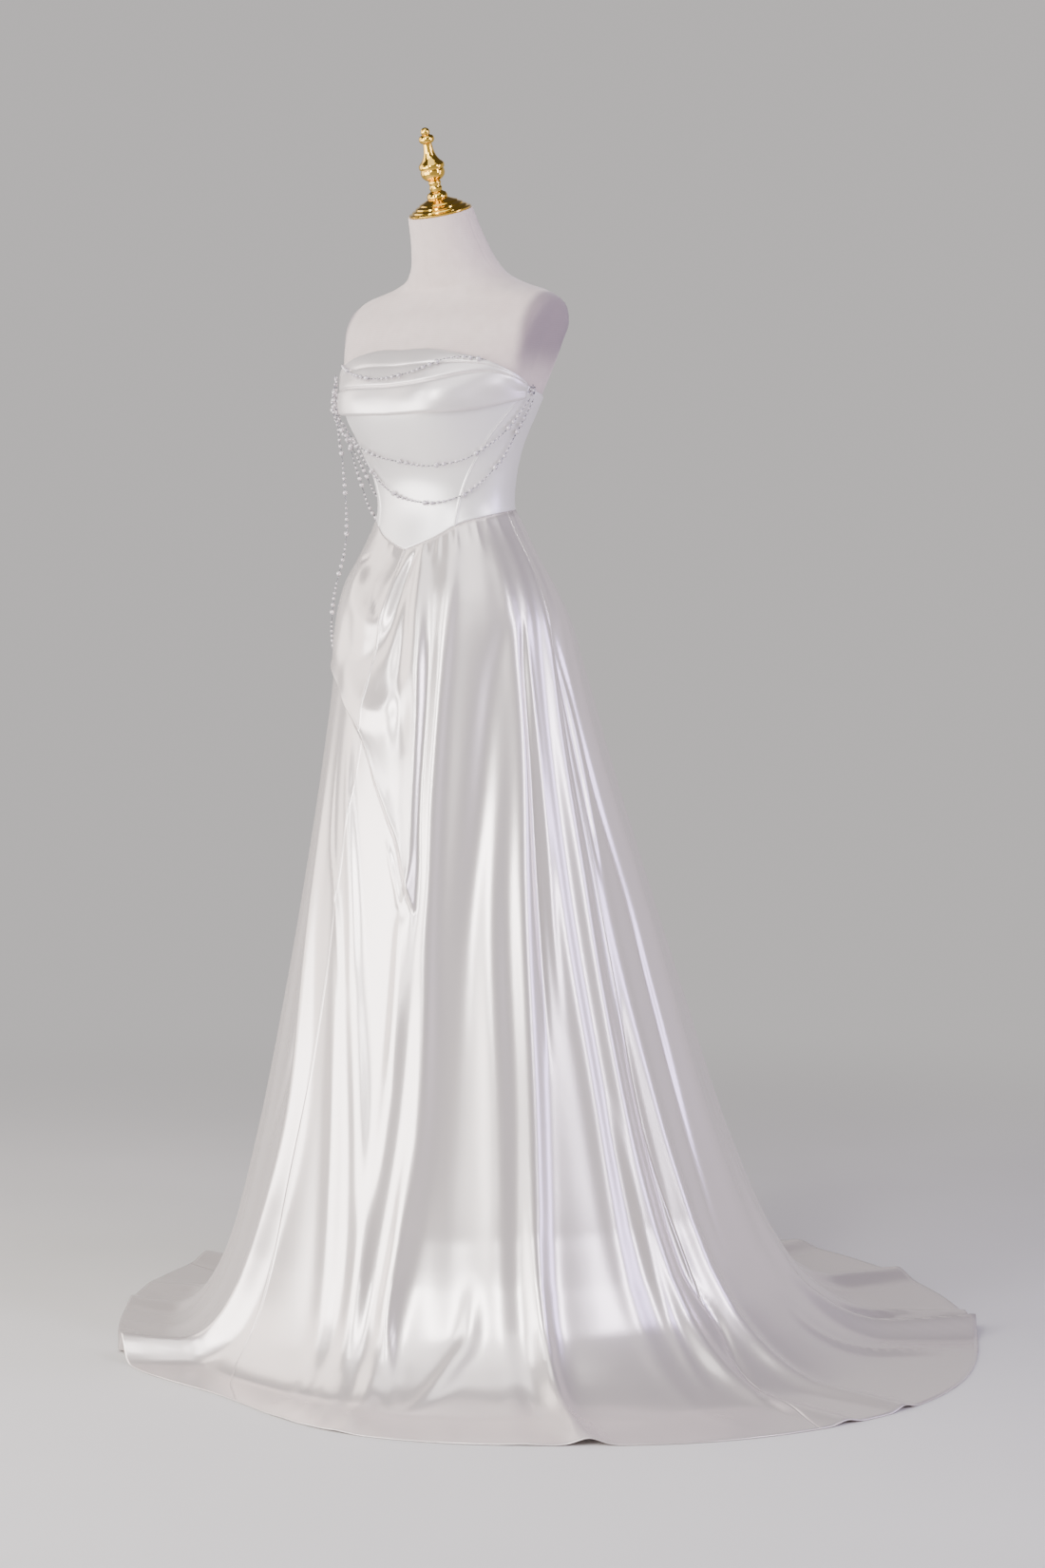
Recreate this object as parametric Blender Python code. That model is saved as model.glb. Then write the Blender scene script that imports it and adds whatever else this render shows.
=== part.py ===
"""Strapless satin wedding dress with a sweep train on a limbless dress form.

Metres, Z up. The floor is z = 0 and the origin lies under the stand pole.
The dress front faces -Y and the wearer's left is +X. An azimuth is measured
in degrees from the front towards the wearer's left.
"""
import bpy
import bmesh
import math
import numpy as np
from mathutils import Matrix, Vector

# Cloth and seams
SEAM_GAP = 0.0003
WAIST_GAP = 0.0006
FORM_CLEARANCE = 0.0020
WAIST_BRIDGE = 0.0018
BRIDGE_HEIGHT = 1.220
BRIDGE_SPREAD = 0.050
BODICE_CLOTH = 0.0015
DRAPE_CLOTH = 0.0014
SKIRT_CLOTH = 0.0020

# Heights of the dress
WAIST_TOP = 1.180
WAIST_FADE = 0.200
FOOT_START = 0.140
FLOOR_LIFT = SKIRT_CLOTH

# Stand and neck fittings
POLE_RADIUS = 0.014
BASE_RADIUS = 0.175
BASE_THICKNESS = 0.016
NECK_TILT = math.radians(17.5)
FIT_GAP = 0.0003

# Beaded strands
STRAND_RADIUS = 0.0025
STRAND_PITCH = 0.015

# Form sections: height, half width, front depth, back depth,
# centre behind the pole, tilt in degrees, arm plate distance
FORM_SECTIONS = [
    (0.820, 0.140, 0.088, 0.108, 0.000, 0.0, 0.300),
    (0.845, 0.153, 0.099, 0.120, 0.000, 0.0, 0.300),
    (0.900, 0.161, 0.105, 0.127, 0.000, 0.0, 0.300),
    (0.970, 0.163, 0.107, 0.128, 0.000, 0.0, 0.300),
    (1.030, 0.155, 0.102, 0.122, 0.000, 0.0, 0.300),
    (1.085, 0.137, 0.094, 0.109, 0.000, 0.0, 0.300),
    (1.130, 0.115, 0.084, 0.096, 0.000, 0.0, 0.300),
    (1.187, 0.100, 0.073, 0.088, 0.000, 0.0, 0.300),
    (1.225, 0.107, 0.076, 0.079, 0.000, 0.0, 0.300),
    (1.268, 0.122, 0.099, 0.079, 0.000, 0.0, 0.300),
    (1.310, 0.140, 0.115, 0.097, 0.000, 0.0, 0.300),
    (1.340, 0.151, 0.116, 0.114, 0.000, 0.0, 0.151),
    (1.370, 0.163, 0.110, 0.118, 0.005, 0.0, 0.154),
    (1.410, 0.180, 0.096, 0.106, 0.016, 0.0, 0.163),
    (1.445, 0.188, 0.088, 0.096, 0.028, 0.0, 0.170),
    (1.468, 0.178, 0.072, 0.078, 0.032, 2.0, 0.173),
    (1.484, 0.150, 0.062, 0.066, 0.032, 4.0, 0.176),
    (1.495, 0.112, 0.058, 0.062, 0.032, 7.0, 0.180),
    (1.506, 0.083, 0.059, 0.061, 0.029, 10.0, 0.180),
    (1.522, 0.066, 0.058, 0.058, 0.024, 13.0, 0.180),
    (1.555, 0.053, 0.051, 0.051, 0.010, 16.0, 0.180),
    (1.597, 0.046, 0.044, 0.044, -0.008, 17.5, 0.180),
]

# Fullness of the bust cups: azimuth, height, spread in degrees, spread in
# height, depth
CUPS = [
    (28.0, 1.320, 24.0, 0.064, 0.018),
    (-28.0, 1.320, 24.0, 0.064, 0.018),
]

# Height of the waist seam by azimuth from the front. The first row lies on the
# other arm of the V carried on, so that the point of the V is sharp.
WAIST_SEAM = [
    (-15.0, 1.114),
    (0.0, 1.1225),
    (15.0, 1.131),
    (34.0, 1.144),
    (47.0, 1.156),
    (75.0, 1.170),
    (128.0, 1.180),
    (180.0, 1.180),
]

# Height of the neckline by azimuth from the front
NECKLINE = [
    (0.0, 1.399),
    (30.0, 1.399),
    (50.0, 1.391),
    (62.0, 1.382),
    (76.0, 1.364),
    (90.0, 1.346),
    (110.0, 1.336),
    (180.0, 1.326),
]

# Lower edge of the bust drape by azimuth from the front
DRAPE_EDGE = [
    (0.0, 1.309),
    (30.0, 1.311),
    (55.0, 1.316),
    (75.0, 1.326),
    (90.0, 1.334),
]

# Middle line of the bust drape: share of the way down, stand off from the bodice
DRAPE_SECTION = [
    (0.00, 0.0018),
    (0.05, 0.0040),
    (0.13, 0.0058),
    (0.21, 0.0046),
    (0.27, 0.0020),
    (0.34, 0.0052),
    (0.45, 0.0072),
    (0.54, 0.0052),
    (0.60, 0.0021),
    (0.67, 0.0070),
    (0.78, 0.0108),
    (0.90, 0.0120),
    (0.98, 0.0106),
    (1.02, 0.0070),
    (1.01, 0.0036),
]
DRAPE_END = 85.0
DRAPE_FULL_HEIGHT = 0.090

# Princess seam: share of the way from waist to neckline, azimuth
PRINCESS_SEAM = [
    (0.00, 47.0),
    (0.15, 52.0),
    (0.35, 60.0),
    (0.55, 68.0),
    (0.75, 77.0),
    (1.00, 88.0),
]
SIDE_BACK_SEAM = 132.0

# Skirt radius at a height, by azimuth 0, 45, 90 and so on round to 315
SKIRT_SECTIONS = [
    (1.180, 0.088, 0.094, 0.106, 0.099, 0.092, 0.099, 0.106, 0.094),
    (1.150, 0.096, 0.105, 0.117, 0.112, 0.104, 0.112, 0.117, 0.103),
    (1.120, 0.106, 0.118, 0.134, 0.126, 0.118, 0.124, 0.131, 0.116),
    (1.080, 0.122, 0.136, 0.156, 0.149, 0.142, 0.145, 0.152, 0.137),
    (1.030, 0.140, 0.153, 0.177, 0.173, 0.166, 0.161, 0.166, 0.148),
    (0.960, 0.160, 0.174, 0.194, 0.195, 0.190, 0.181, 0.175, 0.151),
    (0.840, 0.187, 0.204, 0.224, 0.229, 0.232, 0.212, 0.191, 0.167),
    (0.660, 0.222, 0.246, 0.272, 0.284, 0.294, 0.262, 0.220, 0.194),
    (0.480, 0.258, 0.290, 0.322, 0.341, 0.358, 0.312, 0.253, 0.225),
    (0.300, 0.294, 0.334, 0.376, 0.399, 0.420, 0.365, 0.292, 0.259),
    (0.140, 0.330, 0.378, 0.432, 0.462, 0.485, 0.418, 0.332, 0.297),
]

# Outline of the hem on the floor: azimuth, radius
HEM = [
    (0.0, 0.481),
    (26.0, 0.580),
    (52.0, 0.645),
    (71.0, 0.712),
    (95.0, 0.768),
    (120.0, 0.763),
    (150.0, 0.770),
    (180.0, 0.785),
    (210.0, 0.745),
    (235.0, 0.670),
    (252.0, 0.612),
    (275.0, 0.537),
    (298.0, 0.483),
    (316.0, 0.471),
    (331.0, 0.485),
]

# Foot of the skirt: course, share of the way from foot to hem, height
FOOT = [
    (1.00, 0.00, 0.140),
    (1.05, 0.11, 0.084),
    (1.10, 0.24, 0.043),
    (1.16, 0.39, 0.017),
    (1.22, 0.54, 0.004),
    (1.30, 0.76, 0.002),
    (1.40, 1.00, 0.002),
]

# Panel seams of the skirt: azimuth at each of the courses below
SEAM_COURSES = [0.00, 0.25, 0.50, 0.80, 1.05, 1.15, 1.40]
FRONT_SEAM = [0.0, -1.0, -3.0, -6.0, -10.0, -10.0, 3.5]
LEFT_SEAM = [95.0, 90.0, 88.0, 86.5, 87.5, 85.0, 78.5]
RIGHT_SEAM = [-95.0, -95.0, -95.0, -95.0, -95.0, -96.0, -98.0]
BACK_SEAM = [180.0, 180.0, 180.0, 180.0, 180.0, 180.0, 180.0]

# Folds of the skirt: azimuth at six courses, half width high and low,
# lift at the same six courses
FOLD_COURSES = [0.00, 0.25, 0.50, 0.80, 1.05, 1.40]
FOLDS = [
    (-45, -42, -40, -38, -42, -60, 0.016, 0.028, 0.002, 0.003, 0.004, 0.006, 0.006, 0.000),
    (-32, -34, -23, -11, -18, -31, 0.013, 0.022, 0.002, 0.002, 0.008, 0.016, 0.026, 0.036),
    (-16, -18, -3, 7, 11, 12, 0.012, 0.018, 0.002, 0.001, 0.005, 0.008, 0.006, 0.000),
    (-5, -12, 3, 15, 19, 20, 0.012, 0.018, 0.002, 0.001, 0.005, 0.009, 0.007, 0.001),
    (18, 26, 27, 23, 18, 15, 0.012, 0.017, 0.003, 0.007, 0.008, 0.008, 0.006, 0.001),
    (44, 35, 32, 31, 26, 24, 0.012, 0.019, 0.002, 0.006, 0.008, 0.010, 0.010, 0.002),
    (60, 62, 53, 51, 49, 47, 0.014, 0.024, 0.002, 0.001, 0.004, 0.007, 0.006, 0.001),
    (72, 69, 62, 58, 55, 54, 0.014, 0.020, 0.002, 0.007, 0.011, 0.014, 0.016, 0.009),
    (84, 77, 74, 74, 73, 72, 0.011, 0.016, 0.002, 0.004, 0.004, 0.005, 0.003, 0.000),
    (96, 85, 82, 81, 82, 82, 0.011, 0.017, 0.002, 0.005, 0.008, 0.009, 0.011, 0.005),
    (106, 97, 91, 91, 92, 90, 0.012, 0.016, 0.002, 0.002, 0.003, 0.008, 0.012, 0.006),
    (115, 107, 112, 111, 113, 116, 0.014, 0.040, 0.002, 0.004, 0.007, 0.009, 0.006, 0.001),
    (121, 121, 121, 121, 120, 124, 0.014, 0.030, 0.000, 0.000, 0.000, 0.003, 0.016, 0.026),
    (130, 129, 131, 132, 132, 131, 0.014, 0.028, 0.002, 0.004, 0.006, 0.008, 0.010, 0.008),
    (147, 149, 150, 151, 151, 152, 0.014, 0.032, 0.002, 0.006, 0.010, 0.013, 0.017, 0.012),
    (166, 168, 169, 170, 170, 171, 0.014, 0.028, 0.002, 0.005, 0.008, 0.011, 0.014, 0.008),
    (-173, -170, -170, -169, -169, -168, 0.014, 0.032, 0.002, 0.006, 0.010, 0.013, 0.017, 0.010),
    (-154, -151, -149, -147, -147, -147, 0.014, 0.028, 0.002, 0.006, 0.009, 0.011, 0.016, 0.014),
    (-134, -131, -129, -126, -125, -124, 0.014, 0.030, 0.002, 0.005, 0.009, 0.012, 0.012, 0.004),
    (-114, -112, -109, -106, -104, -102, 0.014, 0.026, 0.002, 0.005, 0.008, 0.011, 0.015, 0.012),
    (-94, -92, -89, -86, -85, -84, 0.014, 0.026, 0.002, 0.005, 0.008, 0.009, 0.009, 0.002),
    (-72, -71, -68, -64, -66, -72, 0.014, 0.024, 0.002, 0.003, 0.006, 0.008, 0.010, 0.006),
]

# Course at which the folds reach their full lift, and the course over which
# the skirt is fitted to the bodice at the waist seam
FOLD_ENTRY = 0.03
SEAM_FIT = 0.05
# Upward lean of the folds in radians, by course: flat on the floor they rise
FOLD_LEAN = [
    (0.0, 0.30),
    (0.9, 0.35),
    (1.2, 0.5 * math.pi),
]

# Lower edge of the swag over the wearer's right hip: azimuth, course
SWAG_EDGE = [
    (-120.0, 0.18),
    (-60.0, 0.21),
    (-30.0, 0.24),
    (-16.0, 0.266),
    (3.0, 0.323),
    (10.0, 0.367),
    (16.0, 0.407),
    (21.0, 0.446),
    (25.0, 0.500),
    (28.0, 0.530),
]
SWAG_LIFT = 0.008
SWAG_START = 0.10
SWAG_STEP = 0.018
SWAG_SIDES = (-75.0, -50.0, 26.0, 31.0)

# Rows of the skirt mesh, as courses, and its columns in each panel
SKIRT_ROWS = [
    0.0, 0.022, 0.055, 0.10, 0.15, 0.21, 0.27, 0.34, 0.43,
    0.56, 0.74, 0.93, 1.03, 1.09, 1.16, 1.24, 1.32, 1.40,
]
FRONT_RIGHT_COLUMNS = 28
FRONT_LEFT_COLUMNS = 30
BACK_LEFT_COLUMNS = 18
BACK_RIGHT_COLUMNS = 17

# Beaded strands that lie on the dress: azimuth, height
STRAND_TOP = [
    (-58.0, 1.384),
    (-50.0, 1.380),
    (-23.0, 1.364),
    (-8.0, 1.358),
    (5.0, 1.360),
    (19.0, 1.367),
    (30.0, 1.377),
    (42.0, 1.386),
    (52.0, 1.386),
    (61.0, 1.382),
]
STRAND_MIDDLE = [
    (88.0, 1.331),
    (84.0, 1.315),
    (80.0, 1.297),
    (76.0, 1.285),
    (71.0, 1.273),
    (63.0, 1.260),
    (56.0, 1.250),
    (40.0, 1.241),
    (23.0, 1.238),
    (0.0, 1.244),
    (-17.0, 1.250),
    (-30.0, 1.259),
    (-41.0, 1.272),
    (-48.0, 1.292),
    (-51.0, 1.314),
    (-52.0, 1.342),
    (-52.0, 1.364),
]
STRAND_LOW = [
    (91.0, 1.331),
    (89.5, 1.318),
    (87.0, 1.298),
    (84.0, 1.276),
    (80.0, 1.250),
    (75.0, 1.236),
    (70.0, 1.222),
    (62.0, 1.208),
    (54.0, 1.198),
    (44.0, 1.192),
    (31.0, 1.187),
    (21.0, 1.187),
    (2.0, 1.191),
    (-17.0, 1.199),
    (-34.0, 1.213),
    (-45.0, 1.228),
    (-52.0, 1.246),
    (-57.0, 1.265),
    (-61.0, 1.288),
    (-62.5, 1.315),
    (-62.5, 1.345),
    (-62.0, 1.370),
]

# Strands that hang free in loops at the wearer's right side:
# azimuth, radius, height
LOOP_LONG = [
    (-73.0, 0.165, 1.366),
    (-73.0, 0.165, 1.345),
    (-73.0, 0.164, 1.320),
    (-70.0, 0.159, 1.288),
    (-66.0, 0.150, 1.250),
    (-63.0, 0.145, 1.212),
    (-62.0, 0.142, 1.175),
    (-61.0, 0.142, 1.140),
    (-62.0, 0.147, 1.110),
    (-63.0, 0.155, 1.085),
    (-66.0, 0.165, 1.045),
    (-71.0, 0.172, 1.002),
    (-82.0, 0.180, 0.972),
    (-95.0, 0.185, 0.960),
    (-107.0, 0.188, 0.970),
    (-117.0, 0.187, 1.010),
    (-124.0, 0.178, 1.070),
    (-129.0, 0.168, 1.150),
    (-134.0, 0.158, 1.230),
    (-140.0, 0.145, 1.290),
    (-147.0, 0.1208, 1.326),
]
LOOP_MIDDLE = [
    (-67.5, 0.161, 1.371),
    (-67.5, 0.161, 1.345),
    (-67.5, 0.162, 1.322),
    (-67.0, 0.156, 1.302),
    (-66.0, 0.143, 1.280),
    (-66.5, 0.136, 1.259),
    (-69.0, 0.133, 1.242),
    (-76.0, 0.130, 1.216),
    (-83.0, 0.128, 1.187),
    (-90.0, 0.128, 1.171),
    (-100.0, 0.129, 1.164),
    (-110.0, 0.129, 1.166),
    (-120.0, 0.129, 1.182),
    (-128.0, 0.131, 1.212),
    (-134.0, 0.135, 1.250),
    (-139.0, 0.137, 1.290),
    (-142.0, 0.1229, 1.325),
]
LOOP_SHORT = [
    (-57.0, 0.154, 1.371),
    (-57.0, 0.157, 1.345),
    (-57.0, 0.160, 1.322),
    (-57.0, 0.154, 1.302),
    (-57.5, 0.140, 1.280),
    (-62.5, 0.130, 1.261),
    (-71.0, 0.125, 1.242),
    (-78.0, 0.123, 1.226),
    (-84.0, 0.122, 1.209),
    (-91.0, 0.122, 1.198),
    (-102.0, 0.123, 1.191),
    (-113.0, 0.123, 1.194),
    (-123.0, 0.125, 1.212),
    (-131.0, 0.127, 1.245),
    (-135.0, 0.131, 1.285),
    (-136.0, 0.1263, 1.324),
]

# Turned profiles: height above the neck top, radius
CAP_PROFILE = [
    (0.0003, 0.0000),
    (0.0003, 0.0440),
    (0.0030, 0.0445),
    (0.0045, 0.0400),
    (0.0070, 0.0385),
    (0.0085, 0.0345),
    (0.0110, 0.0325),
    (0.0130, 0.0280),
    (0.0155, 0.0255),
    (0.0180, 0.0190),
    (0.0200, 0.0150),
    (0.0200, 0.0000),
]
FINIAL_PROFILE = [
    (0.0203, 0.0000),
    (0.0203, 0.0140),
    (0.0240, 0.0148),
    (0.0280, 0.0128),
    (0.0310, 0.0082),
    (0.0350, 0.0092),
    (0.0385, 0.0078),
    (0.0425, 0.0090),
    (0.0450, 0.0080),
    (0.0480, 0.0130),
    (0.0550, 0.0172),
    (0.0620, 0.0160),
    (0.0635, 0.0180),
    (0.0685, 0.0180),
    (0.0730, 0.0135),
    (0.0800, 0.0092),
    (0.0900, 0.0068),
    (0.0975, 0.0064),
    (0.0995, 0.0098),
    (0.1040, 0.0110),
    (0.1085, 0.0090),
    (0.1100, 0.0055),
    (0.1145, 0.0064),
    (0.1180, 0.0048),
    (0.1200, 0.0000),
]
BASE_PROFILE = [
    (0.000, 0.0000),
    (0.000, BASE_RADIUS - 0.0010),
    (0.003, BASE_RADIUS),
    (0.008, BASE_RADIUS - 0.0010),
    (0.013, 0.0900),
    (BASE_THICKNESS, 0.0300),
    (BASE_THICKNESS, 0.0000),
]
TURNED_SIDES = 20
BASE_SIDES = 28

# Colours of the materials
CLOTH_WHITE = (0.86, 0.84, 0.82, 1.0)
FORM_CLOTH = (0.72, 0.66, 0.62, 1.0)
BRASS = (0.80, 0.60, 0.22, 1.0)
STEEL = (0.30, 0.30, 0.31, 1.0)
PEARL = (0.90, 0.87, 0.80, 1.0)
SATIN_ROUGHNESS = 0.35


def smooth(keys, values, x):
    """Smooth curve through a table column."""
    keys = np.asarray(keys, float)
    values = np.asarray(values, float)
    slope = np.gradient(values, keys)
    x = np.clip(x, keys[0], keys[-1])
    i = np.clip(np.searchsorted(keys, x, side="right") - 1, 0, len(keys) - 2)
    h = keys[i + 1] - keys[i]
    t = (x - keys[i]) / h
    a = (1 + 2 * t) * (1 - t) ** 2 * values[i] + t * (1 - t) ** 2 * h * slope[i]
    b = t * t * (3 - 2 * t) * values[i + 1] + t * t * (t - 1) * h * slope[i + 1]
    return a + b


def column(table, index):
    return [row[index] for row in table]


def turned_by(azimuth, centre):
    """Turn from a centre to an azimuth, from -180 to 180 degrees."""
    return (np.asarray(azimuth, float) - centre + 180.0) % 360.0 - 180.0


def by_azimuth(table, azimuth):
    """Value of a symmetric table at an azimuth in degrees."""
    folded = np.abs(turned_by(azimuth, 0.0))
    return smooth(column(table, 0), column(table, 1), folded)


def round_table(table, azimuth):
    """Value of a table that runs all the way round."""
    keys = column(table, 0)
    values = column(table, 1)
    keys = [k - 360.0 for k in keys[-2:]] + keys + [k + 360.0 for k in keys[:2]]
    values = values[-2:] + values + values[:2]
    return smooth(keys, values, np.asarray(azimuth, float) % 360.0)


def around(ring, azimuth):
    """Smooth value at an azimuth from eight values round a ring."""
    turn = np.asarray(azimuth, float) % 360.0 / 45.0
    i = np.floor(turn).astype(int)
    t = turn - i
    pick = np.arange(turn.size)
    a, b, c, d = [ring[(i + k) % 8, pick] for k in (-1, 0, 1, 2)]
    return b + 0.5 * t * (c - a + t * (2 * a - 5 * b + 4 * c - d + t * (3 * b - a - 3 * c + d)))


def form_column(index, height):
    return smooth(column(FORM_SECTIONS, 0), column(FORM_SECTIONS, index), height)


def section_radius(azimuth, height):
    """Radius of a form section about its own centre."""
    width = form_column(1, height)
    plate = np.interp(height, column(FORM_SECTIONS, 0), column(FORM_SECTIONS, 6))
    angle = np.radians(azimuth)
    across = np.abs(np.sin(angle))
    along = np.cos(angle)
    depth = np.where(along > 0.0, form_column(2, height), form_column(3, height))
    radius = 1.0 / np.sqrt((across / width) ** 2 + (along / depth) ** 2)
    for cup_azimuth, cup_height, spread, tall, full in CUPS:
        away = (turned_by(azimuth, cup_azimuth) / spread) ** 2 + ((height - cup_height) / tall) ** 2
        radius = radius + full * np.exp(-away)
    return np.minimum(radius, plate / np.maximum(across, 0.05))


def form_radius(azimuth, height):
    """Distance of the form's surface from the pole, below the shoulders."""
    centre = form_column(4, height)
    angle = np.radians(azimuth)
    radius = section_radius(azimuth, height)
    for _ in range(4):
        side = np.sin(angle) * radius
        ahead = np.cos(angle) * radius + centre
        turned = np.arctan2(side, ahead)
        own = section_radius(np.degrees(turned), height)
        radius = np.hypot(np.sin(turned) * own, np.cos(turned) * own - centre)
    return radius


def waist_height(azimuth):
    return by_azimuth(WAIST_SEAM, azimuth)


def neckline_height(azimuth):
    return by_azimuth(NECKLINE, azimuth)


def bodice_radius(azimuth, height):
    """Outer face of the bodice, drawn taut over the hollow of the waist."""
    bridge = WAIST_BRIDGE * np.exp(-((height - BRIDGE_HEIGHT) / BRIDGE_SPREAD) ** 2)
    return form_radius(azimuth, height) + FORM_CLEARANCE + bridge + BODICE_CLOTH


def polar(azimuth, radius, height):
    angle = np.radians(azimuth)
    return np.stack([np.sin(angle) * radius, -np.cos(angle) * radius, height + 0.0 * radius], axis=-1)


def skirt_height(azimuth, course):
    """Height of the cloth on a course from the waist (0) to the foot (1)."""
    level = WAIST_TOP - np.minimum(course, 1.0) * (WAIST_TOP - FOOT_START)
    fade = np.clip(1.0 - (WAIST_TOP - level) / WAIST_FADE, 0.0, 1.0) ** 2
    upper = level + (waist_height(azimuth) - WAIST_TOP) * fade
    foot = smooth(column(FOOT, 0), column(FOOT, 2), course)
    return np.where(course < 1.0, upper, np.maximum(foot, FLOOR_LIFT))


def skirt_radius(azimuth, course):
    """Distance of the cloth from the pole before its folds."""
    level = WAIST_TOP - np.minimum(course, 1.0) * (WAIST_TOP - FOOT_START)
    rows = SKIRT_SECTIONS[::-1]
    ring = np.stack([smooth(column(rows, 0), column(rows, k), level) for k in range(1, 9)])
    top_ring = np.stack([rows[-1][k] + 0.0 * level for k in range(1, 9)])
    fade = np.clip(1.0 - course / SEAM_FIT, 0.0, 1.0)
    seam_fit = bodice_radius(azimuth, waist_height(azimuth)) - around(top_ring, azimuth)
    upper = around(ring, azimuth) + seam_fit * fade
    share = smooth(column(FOOT, 0), column(FOOT, 1), course)
    return upper + (round_table(HEM, azimuth) - upper) * np.where(course > 1.0, share, 0.0)


def fold_lift(azimuth, course, radius):
    """How far the folds of the skirt stand out of its plain form."""
    lift = np.zeros_like(radius)
    entry = np.clip(course / FOLD_ENTRY, 0.0, 1.0)
    for row in FOLDS:
        turns = np.unwrap(np.radians(row[0:6]))
        centre = np.degrees(smooth(FOLD_COURSES, turns, course))
        width = row[6] + (row[7] - row[6]) * np.clip(course, 0.0, 1.0)
        height = smooth(FOLD_COURSES, row[8:14], course)
        away = np.radians(turned_by(azimuth, centre)) * radius / width
        lift = lift + height * np.exp(-away ** 2)
    folded = turned_by(azimuth, 0.0)
    edge = smooth(column(SWAG_EDGE, 0), column(SWAG_EDGE, 1), folded)
    inside = np.interp(folded, SWAG_SIDES, (0.0, 1.0, 1.0, 0.0))
    above = np.clip((edge - course) / SWAG_STEP + 0.5, 0.0, 1.0)
    grown = np.clip((course - SWAG_START) / (edge - SWAG_START), 0.0, 1.0)
    swag = SWAG_LIFT * inside * grown * above * above * (3.0 - 2.0 * above)
    return np.maximum(lift, 0.0) * entry + swag


def skirt_point(azimuth, course):
    """A point of the skirt's outer face."""
    radius = skirt_radius(azimuth, course)
    height = skirt_height(azimuth, course)
    lift = fold_lift(azimuth, course, radius)
    lean = np.interp(course, column(FOLD_LEAN, 0), column(FOLD_LEAN, 1))
    return polar(azimuth, radius + lift * np.cos(lean), height + lift * np.sin(lean))


def seam_azimuth(seam, course):
    return smooth(SEAM_COURSES, seam, course)


def outward(point_at, a, b, step_a, step_b):
    """Unit normals of a surface given by two parameters."""
    across = point_at(a + step_a, b) - point_at(a - step_a, b)
    along = point_at(a, b + step_b) - point_at(a, b - step_b)
    normal = np.cross(along, across)
    return normal / np.linalg.norm(normal, axis=-1, keepdims=True)


# Start from an empty scene
for item in list(bpy.data.objects):
    bpy.data.objects.remove(item, do_unlink=True)


def give_material(item, colour, roughness, metallic):
    material = bpy.data.materials.new(item.name + "_material")
    material.use_nodes = True
    shader = material.node_tree.nodes["Principled BSDF"]
    shader.inputs["Base Color"].default_value = colour
    shader.inputs["Roughness"].default_value = roughness
    shader.inputs["Metallic"].default_value = metallic
    item.data.materials.append(material)


def mesh_object(name, bm, colour, roughness, metallic, sharp):
    """Finish a bmesh as one smooth shaded object facing outward."""
    bmesh.ops.recalc_face_normals(bm, faces=bm.faces)
    mesh = bpy.data.meshes.new(name)
    bm.to_mesh(mesh)
    bm.free()
    mesh.shade_smooth()
    mesh.set_sharp_from_angle(angle=math.radians(sharp))
    item = bpy.data.objects.new(name, mesh)
    bpy.context.collection.objects.link(item)
    give_material(item, colour, roughness, metallic)
    return item


def add_grid(bm, grid):
    return [[bm.verts.new(point) for point in row] for row in grid]


def join_rows(bm, above, below):
    for k in range(len(above) - 1):
        bm.faces.new((above[k], above[k + 1], below[k + 1], below[k]))


def wall_object(name, outer, inner, colour, roughness):
    """Cloth wall between an outer and an inner grid of points."""
    bm = bmesh.new()
    out = add_grid(bm, outer)
    back = add_grid(bm, inner)
    for i in range(len(out) - 1):
        join_rows(bm, out[i], out[i + 1])
        join_rows(bm, back[i + 1], back[i])
    join_rows(bm, back[0], out[0])
    join_rows(bm, out[-1], back[-1])
    for side in (0, -1):
        join_rows(bm, [row[side] for row in out], [row[side] for row in back])
    return mesh_object(name, bm, colour, roughness, 0.0, 50.0)


def ring_object(name, rings, colour, roughness, metallic, sharp):
    """Closed body through rings of points, with flat ends."""
    bm = bmesh.new()
    loops = add_grid(bm, rings)
    for i in range(len(loops) - 1):
        join_rows(bm, loops[i] + loops[i][:1], loops[i + 1] + loops[i + 1][:1])
    bm.faces.new(loops[0])
    bm.faces.new(loops[-1])
    return mesh_object(name, bm, colour, roughness, metallic, sharp)


def turned_object(name, profile, sides, place, colour, roughness, metallic):
    """Turned body from rows of height and radius, first and last on the axis."""
    rings = []
    for height, radius in profile[1:-1]:
        turns = [2.0 * math.pi * k / sides for k in range(sides)]
        rings.append([place @ Vector((radius * math.sin(a), -radius * math.cos(a), height)) for a in turns])
    return ring_object(name, rings, colour, roughness, metallic, 40.0)


# Dress form: one smooth cloth covered torso from hip to neck
FORM_ROWS = [
    0.820, 0.830, 0.860, 0.920, 0.990, 1.050, 1.100, 1.140, 1.170, 1.195, 1.220, 1.245, 1.268,
    1.290, 1.312, 1.335, 1.360, 1.390, 1.425, 1.455, 1.475, 1.490, 1.502, 1.520, 1.555, 1.597,
]
FORM_COLUMNS = 40
form_rings = []
for level in FORM_ROWS:
    turns = np.arange(FORM_COLUMNS) * 360.0 / FORM_COLUMNS
    heights = np.full_like(turns, level)
    outline = polar(turns, section_radius(turns, heights), heights)
    slope = np.tan(np.radians(form_column(5, heights)))
    outline[:, 2] += slope * outline[:, 1]
    outline[:, 1] += form_column(4, heights)
    form_rings.append([Vector(point) for point in outline])
ring_object("form_torso", form_rings, FORM_CLOTH, 0.8, 0.0, 35.0)

# Turned brass cap and finial on the sloped top of the neck
neck_top = Matrix.Translation((0.0, FORM_SECTIONS[-1][4], FORM_SECTIONS[-1][0]))
neck_place = neck_top @ Matrix.Rotation(NECK_TILT, 4, "X")
turned_object("neck_cap", CAP_PROFILE, TURNED_SIDES, neck_place, BRASS, 0.2, 1.0)
turned_object("neck_finial", FINIAL_PROFILE, TURNED_SIDES, neck_place, BRASS, 0.2, 1.0)

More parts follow.
